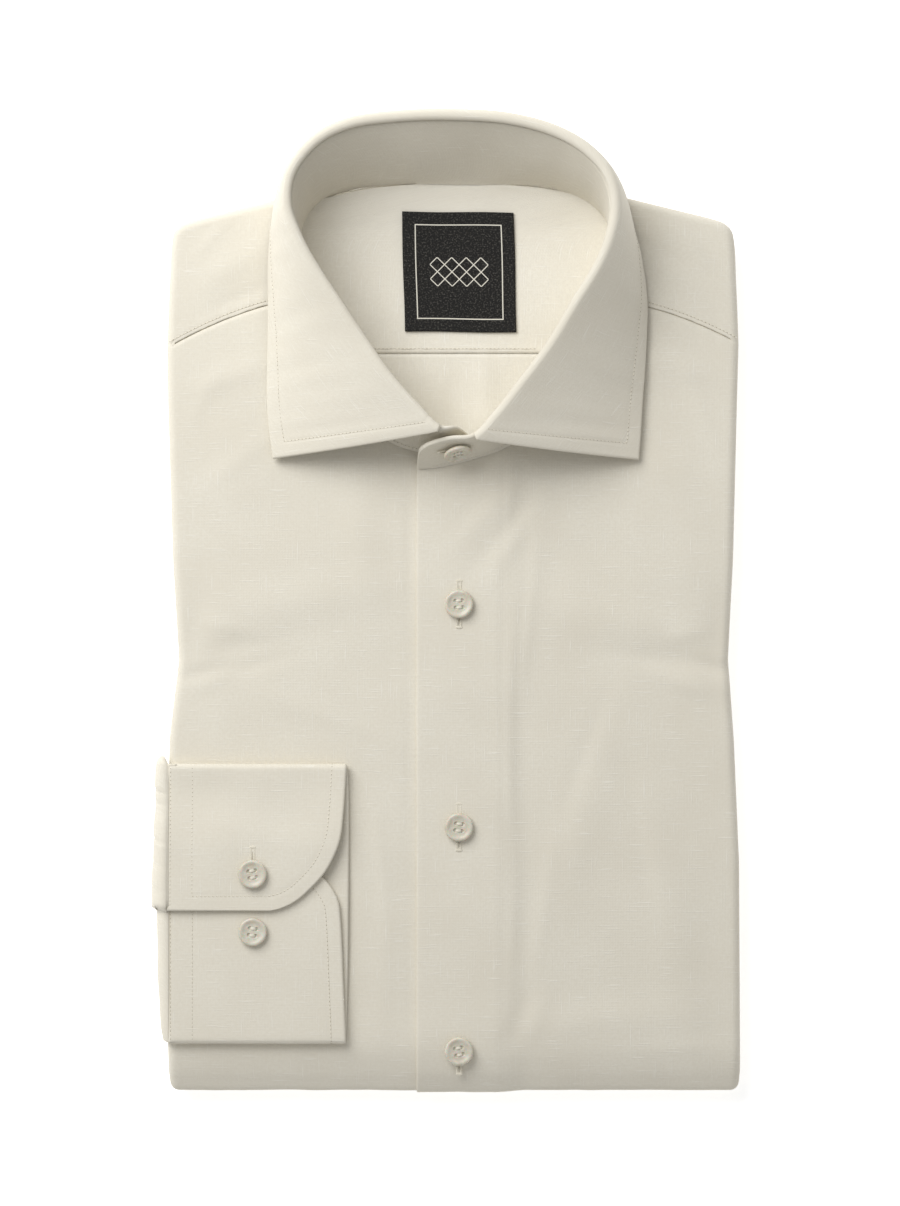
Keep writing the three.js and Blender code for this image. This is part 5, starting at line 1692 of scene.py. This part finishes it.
class ShirtColours(PropertyGroup):
    """Colours of cloth, thread, buttons and label, as sRGB hex values."""

    linen: StringProperty(name="Linen", description="Main colour of the cloth", default="#E6E1D3")
    linen_shade: StringProperty(name="Linen shade", description="Darker yarns of the cloth",
                                default="#DCD5C5")
    linen_pale: StringProperty(name="Linen slubs", description="Thick pale yarns", default="#F3F0E6")
    # The inner side's colours are paler than the linen: painted light that lifts the shade inside the neck
    inside: StringProperty(name="Inner side", description="Cloth seen inside the neck", default="#ECE8DC")
    inside_shade: StringProperty(name="Inner shade", description="Darker yarns of the inner side",
                                 default="#E1DBCD")
    inside_pale: StringProperty(name="Inner slubs", description="Thick pale yarns of the inner side",
                                default="#FBF9F2")
    thread: StringProperty(name="Thread", description="Sewing cotton", default="#E6E0D0")
    # Painted shade: the dark colour of the beads in the needle holes and the bars in the buttonhole slits,
    # standing in for their shadow
    needle_shade_colour: StringProperty(name="Sunk thread", description="Thread where it dives into the cloth",
                                 default="#A59C86")
    button: StringProperty(name="Button", description="Darker clouds of the buttons", default="#CBC5B3")
    button_pale: StringProperty(name="Button pearl", description="Pale clouds of the buttons",
                                default="#DAD5C7")
    label: StringProperty(name="Label", description="Ground of the neck label", default="#151413")
    label_yarn: StringProperty(name="Label yarn", description="Pattern yarn of the neck label",
                               default="#DEDACE")


class ShirtLight(PropertyGroup):
    """Soft light from the upper left, and the fill."""

    key_power: FloatProperty(name="Key power", description="Power of the soft light", default=12.6, min=0.0,
                             unit="POWER")
    key_size: FloatProperty(name="Key size", description="Side of the square soft light", default=0.85,
                            min=0.05, unit="LENGTH", subtype="DISTANCE")
    key_distance: FloatProperty(name="Key distance", description="From the middle of the shirt", default=1.2,
                                min=0.5, unit="LENGTH", subtype="DISTANCE")
    key_height: FloatProperty(name="Key height", description="Angle above the table",
                              default=math.radians(43), min=0.1, max=1.5, unit="ROTATION", subtype="ANGLE")
    key_turn: FloatProperty(name="Key turn", description="Angle to the left of the collar's direction",
                            default=math.radians(38.5), unit="ROTATION", subtype="ANGLE")
    fill: FloatProperty(name="Fill", description="Strength of the light from all round", default=0.43,
                        min=0.0, subtype="FACTOR")
    paper_glow: FloatProperty(name="Paper glow", description="Light through the white paper", default=0.5,
                              min=0.0, subtype="FACTOR")


class SHIRT_OT_fronts(Operator):
    """Build the button front and the buttonhole front"""

    bl_idname = "shirt.fronts"
    bl_label = "Fronts"

    def execute(self, context):
        for side in (-1, 1):
            build_front(side)
        return {"FINISHED"}


class SHIRT_OT_yoke(Operator):
    """Build the outer yoke across the shoulders"""

    bl_idname = "shirt.yoke"
    bl_label = "Outer yoke"

    def execute(self, context):
        build_yoke()
        return {"FINISHED"}


class SHIRT_OT_collar(Operator):
    """Build the collar stand and the collar leaf that rolls over it"""

    bl_idname = "shirt.collar"
    bl_label = "Collar"

    def execute(self, context):
        build_stand()
        build_leaf()
        return {"FINISHED"}


class SHIRT_OT_cuff(Operator):
    """Build the cuff and the end of the sleeve that it is sewn to"""

    bl_idname = "shirt.cuff"
    bl_label = "Cuff and sleeve"

    def execute(self, context):
        build_cuff()
        build_sleeve()
        return {"FINISHED"}


class SHIRT_OT_layers(Operator):
    """Build the folded layers between the upper and the lower cloth"""

    bl_idname = "shirt.layers"
    bl_label = "Hidden layers"

    def execute(self, context):
        build_layers()
        return {"FINISHED"}


class SHIRT_OT_inner_panels(Operator):
    """Build the inner yoke and the back panel seen through the neck"""

    bl_idname = "shirt.inner_panels"
    bl_label = "Inner yoke and back"

    def execute(self, context):
        build_inner_panel("Inner_yoke_cloth", "yoke_inner", 98.5, 166.4)
        build_inner_panel("Back_panel_cloth", "back_panel", 98.4, -185.0)
        return {"FINISHED"}


class SHIRT_OT_label(Operator):
    """Build the woven neck label"""

    bl_idname = "shirt.label"
    bl_label = "Neck label"

    def execute(self, context):
        build_label()
        return {"FINISHED"}


class SHIRT_OT_buttons(Operator):
    """Build the front, collar and cuff buttons with their thread"""

    bl_idname = "shirt.buttons"
    bl_label = "Buttons"

    def execute(self, context):
        build_buttons()
        return {"FINISHED"}


class SHIRT_OT_stitching(Operator):
    """Build the top-stitching and the buttonholes"""

    bl_idname = "shirt.stitching"
    bl_label = "Stitching"

    def execute(self, context):
        build_stitching()
        return {"FINISHED"}


class SHIRT_OT_stage(Operator):
    """Build the paper, the light and the camera"""

    bl_idname = "shirt.stage"
    bl_label = "Stage"

    def execute(self, context):
        build_stage()
        return {"FINISHED"}


PIECES = (SHIRT_OT_fronts, SHIRT_OT_yoke, SHIRT_OT_collar, SHIRT_OT_cuff, SHIRT_OT_layers,
          SHIRT_OT_inner_panels, SHIRT_OT_label, SHIRT_OT_buttons, SHIRT_OT_stitching, SHIRT_OT_stage)
GROUPS = {"shirt_sizes": ShirtSizes, "shirt_colours": ShirtColours, "shirt_light": ShirtLight}


class SHIRT_PT_pieces(Panel):
    """Settings and pieces of the shirt, in the order in which they are built"""

    bl_idname = "SHIRT_PT_pieces"
    bl_label = "Folded linen shirt"
    bl_space_type = "VIEW_3D"
    bl_region_type = "UI"
    bl_category = "Shirt"

    def draw(self, context):
        for group, kind in GROUPS.items():
            box = self.layout.box()
            for key in kind.__annotations__:
                box.prop(getattr(context.scene, group), key)
        for piece in PIECES:
            self.layout.operator(piece.bl_idname)


def register():
    """Registers the settings, the operators and the panel."""
    for group, kind in GROUPS.items():
        bpy.utils.register_class(kind)
        setattr(bpy.types.Scene, group, PointerProperty(type=kind))
    for kind in (*PIECES, SHIRT_PT_pieces):
        bpy.utils.register_class(kind)


def unregister():
    """Takes them away again."""
    for kind in (SHIRT_PT_pieces, *reversed(PIECES)):
        bpy.utils.unregister_class(kind)
    for group, kind in GROUPS.items():
        delattr(bpy.types.Scene, group)
        bpy.utils.unregister_class(kind)


def main():
    """Registers the add-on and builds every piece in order."""
    register()
    for step in (bpy.ops.shirt.fronts, bpy.ops.shirt.yoke, bpy.ops.shirt.collar, bpy.ops.shirt.cuff,
                 bpy.ops.shirt.layers, bpy.ops.shirt.inner_panels, bpy.ops.shirt.label, bpy.ops.shirt.buttons,
                 bpy.ops.shirt.stitching, bpy.ops.shirt.stage):
        step()
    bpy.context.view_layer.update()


if __name__ == "__main__":
    main()
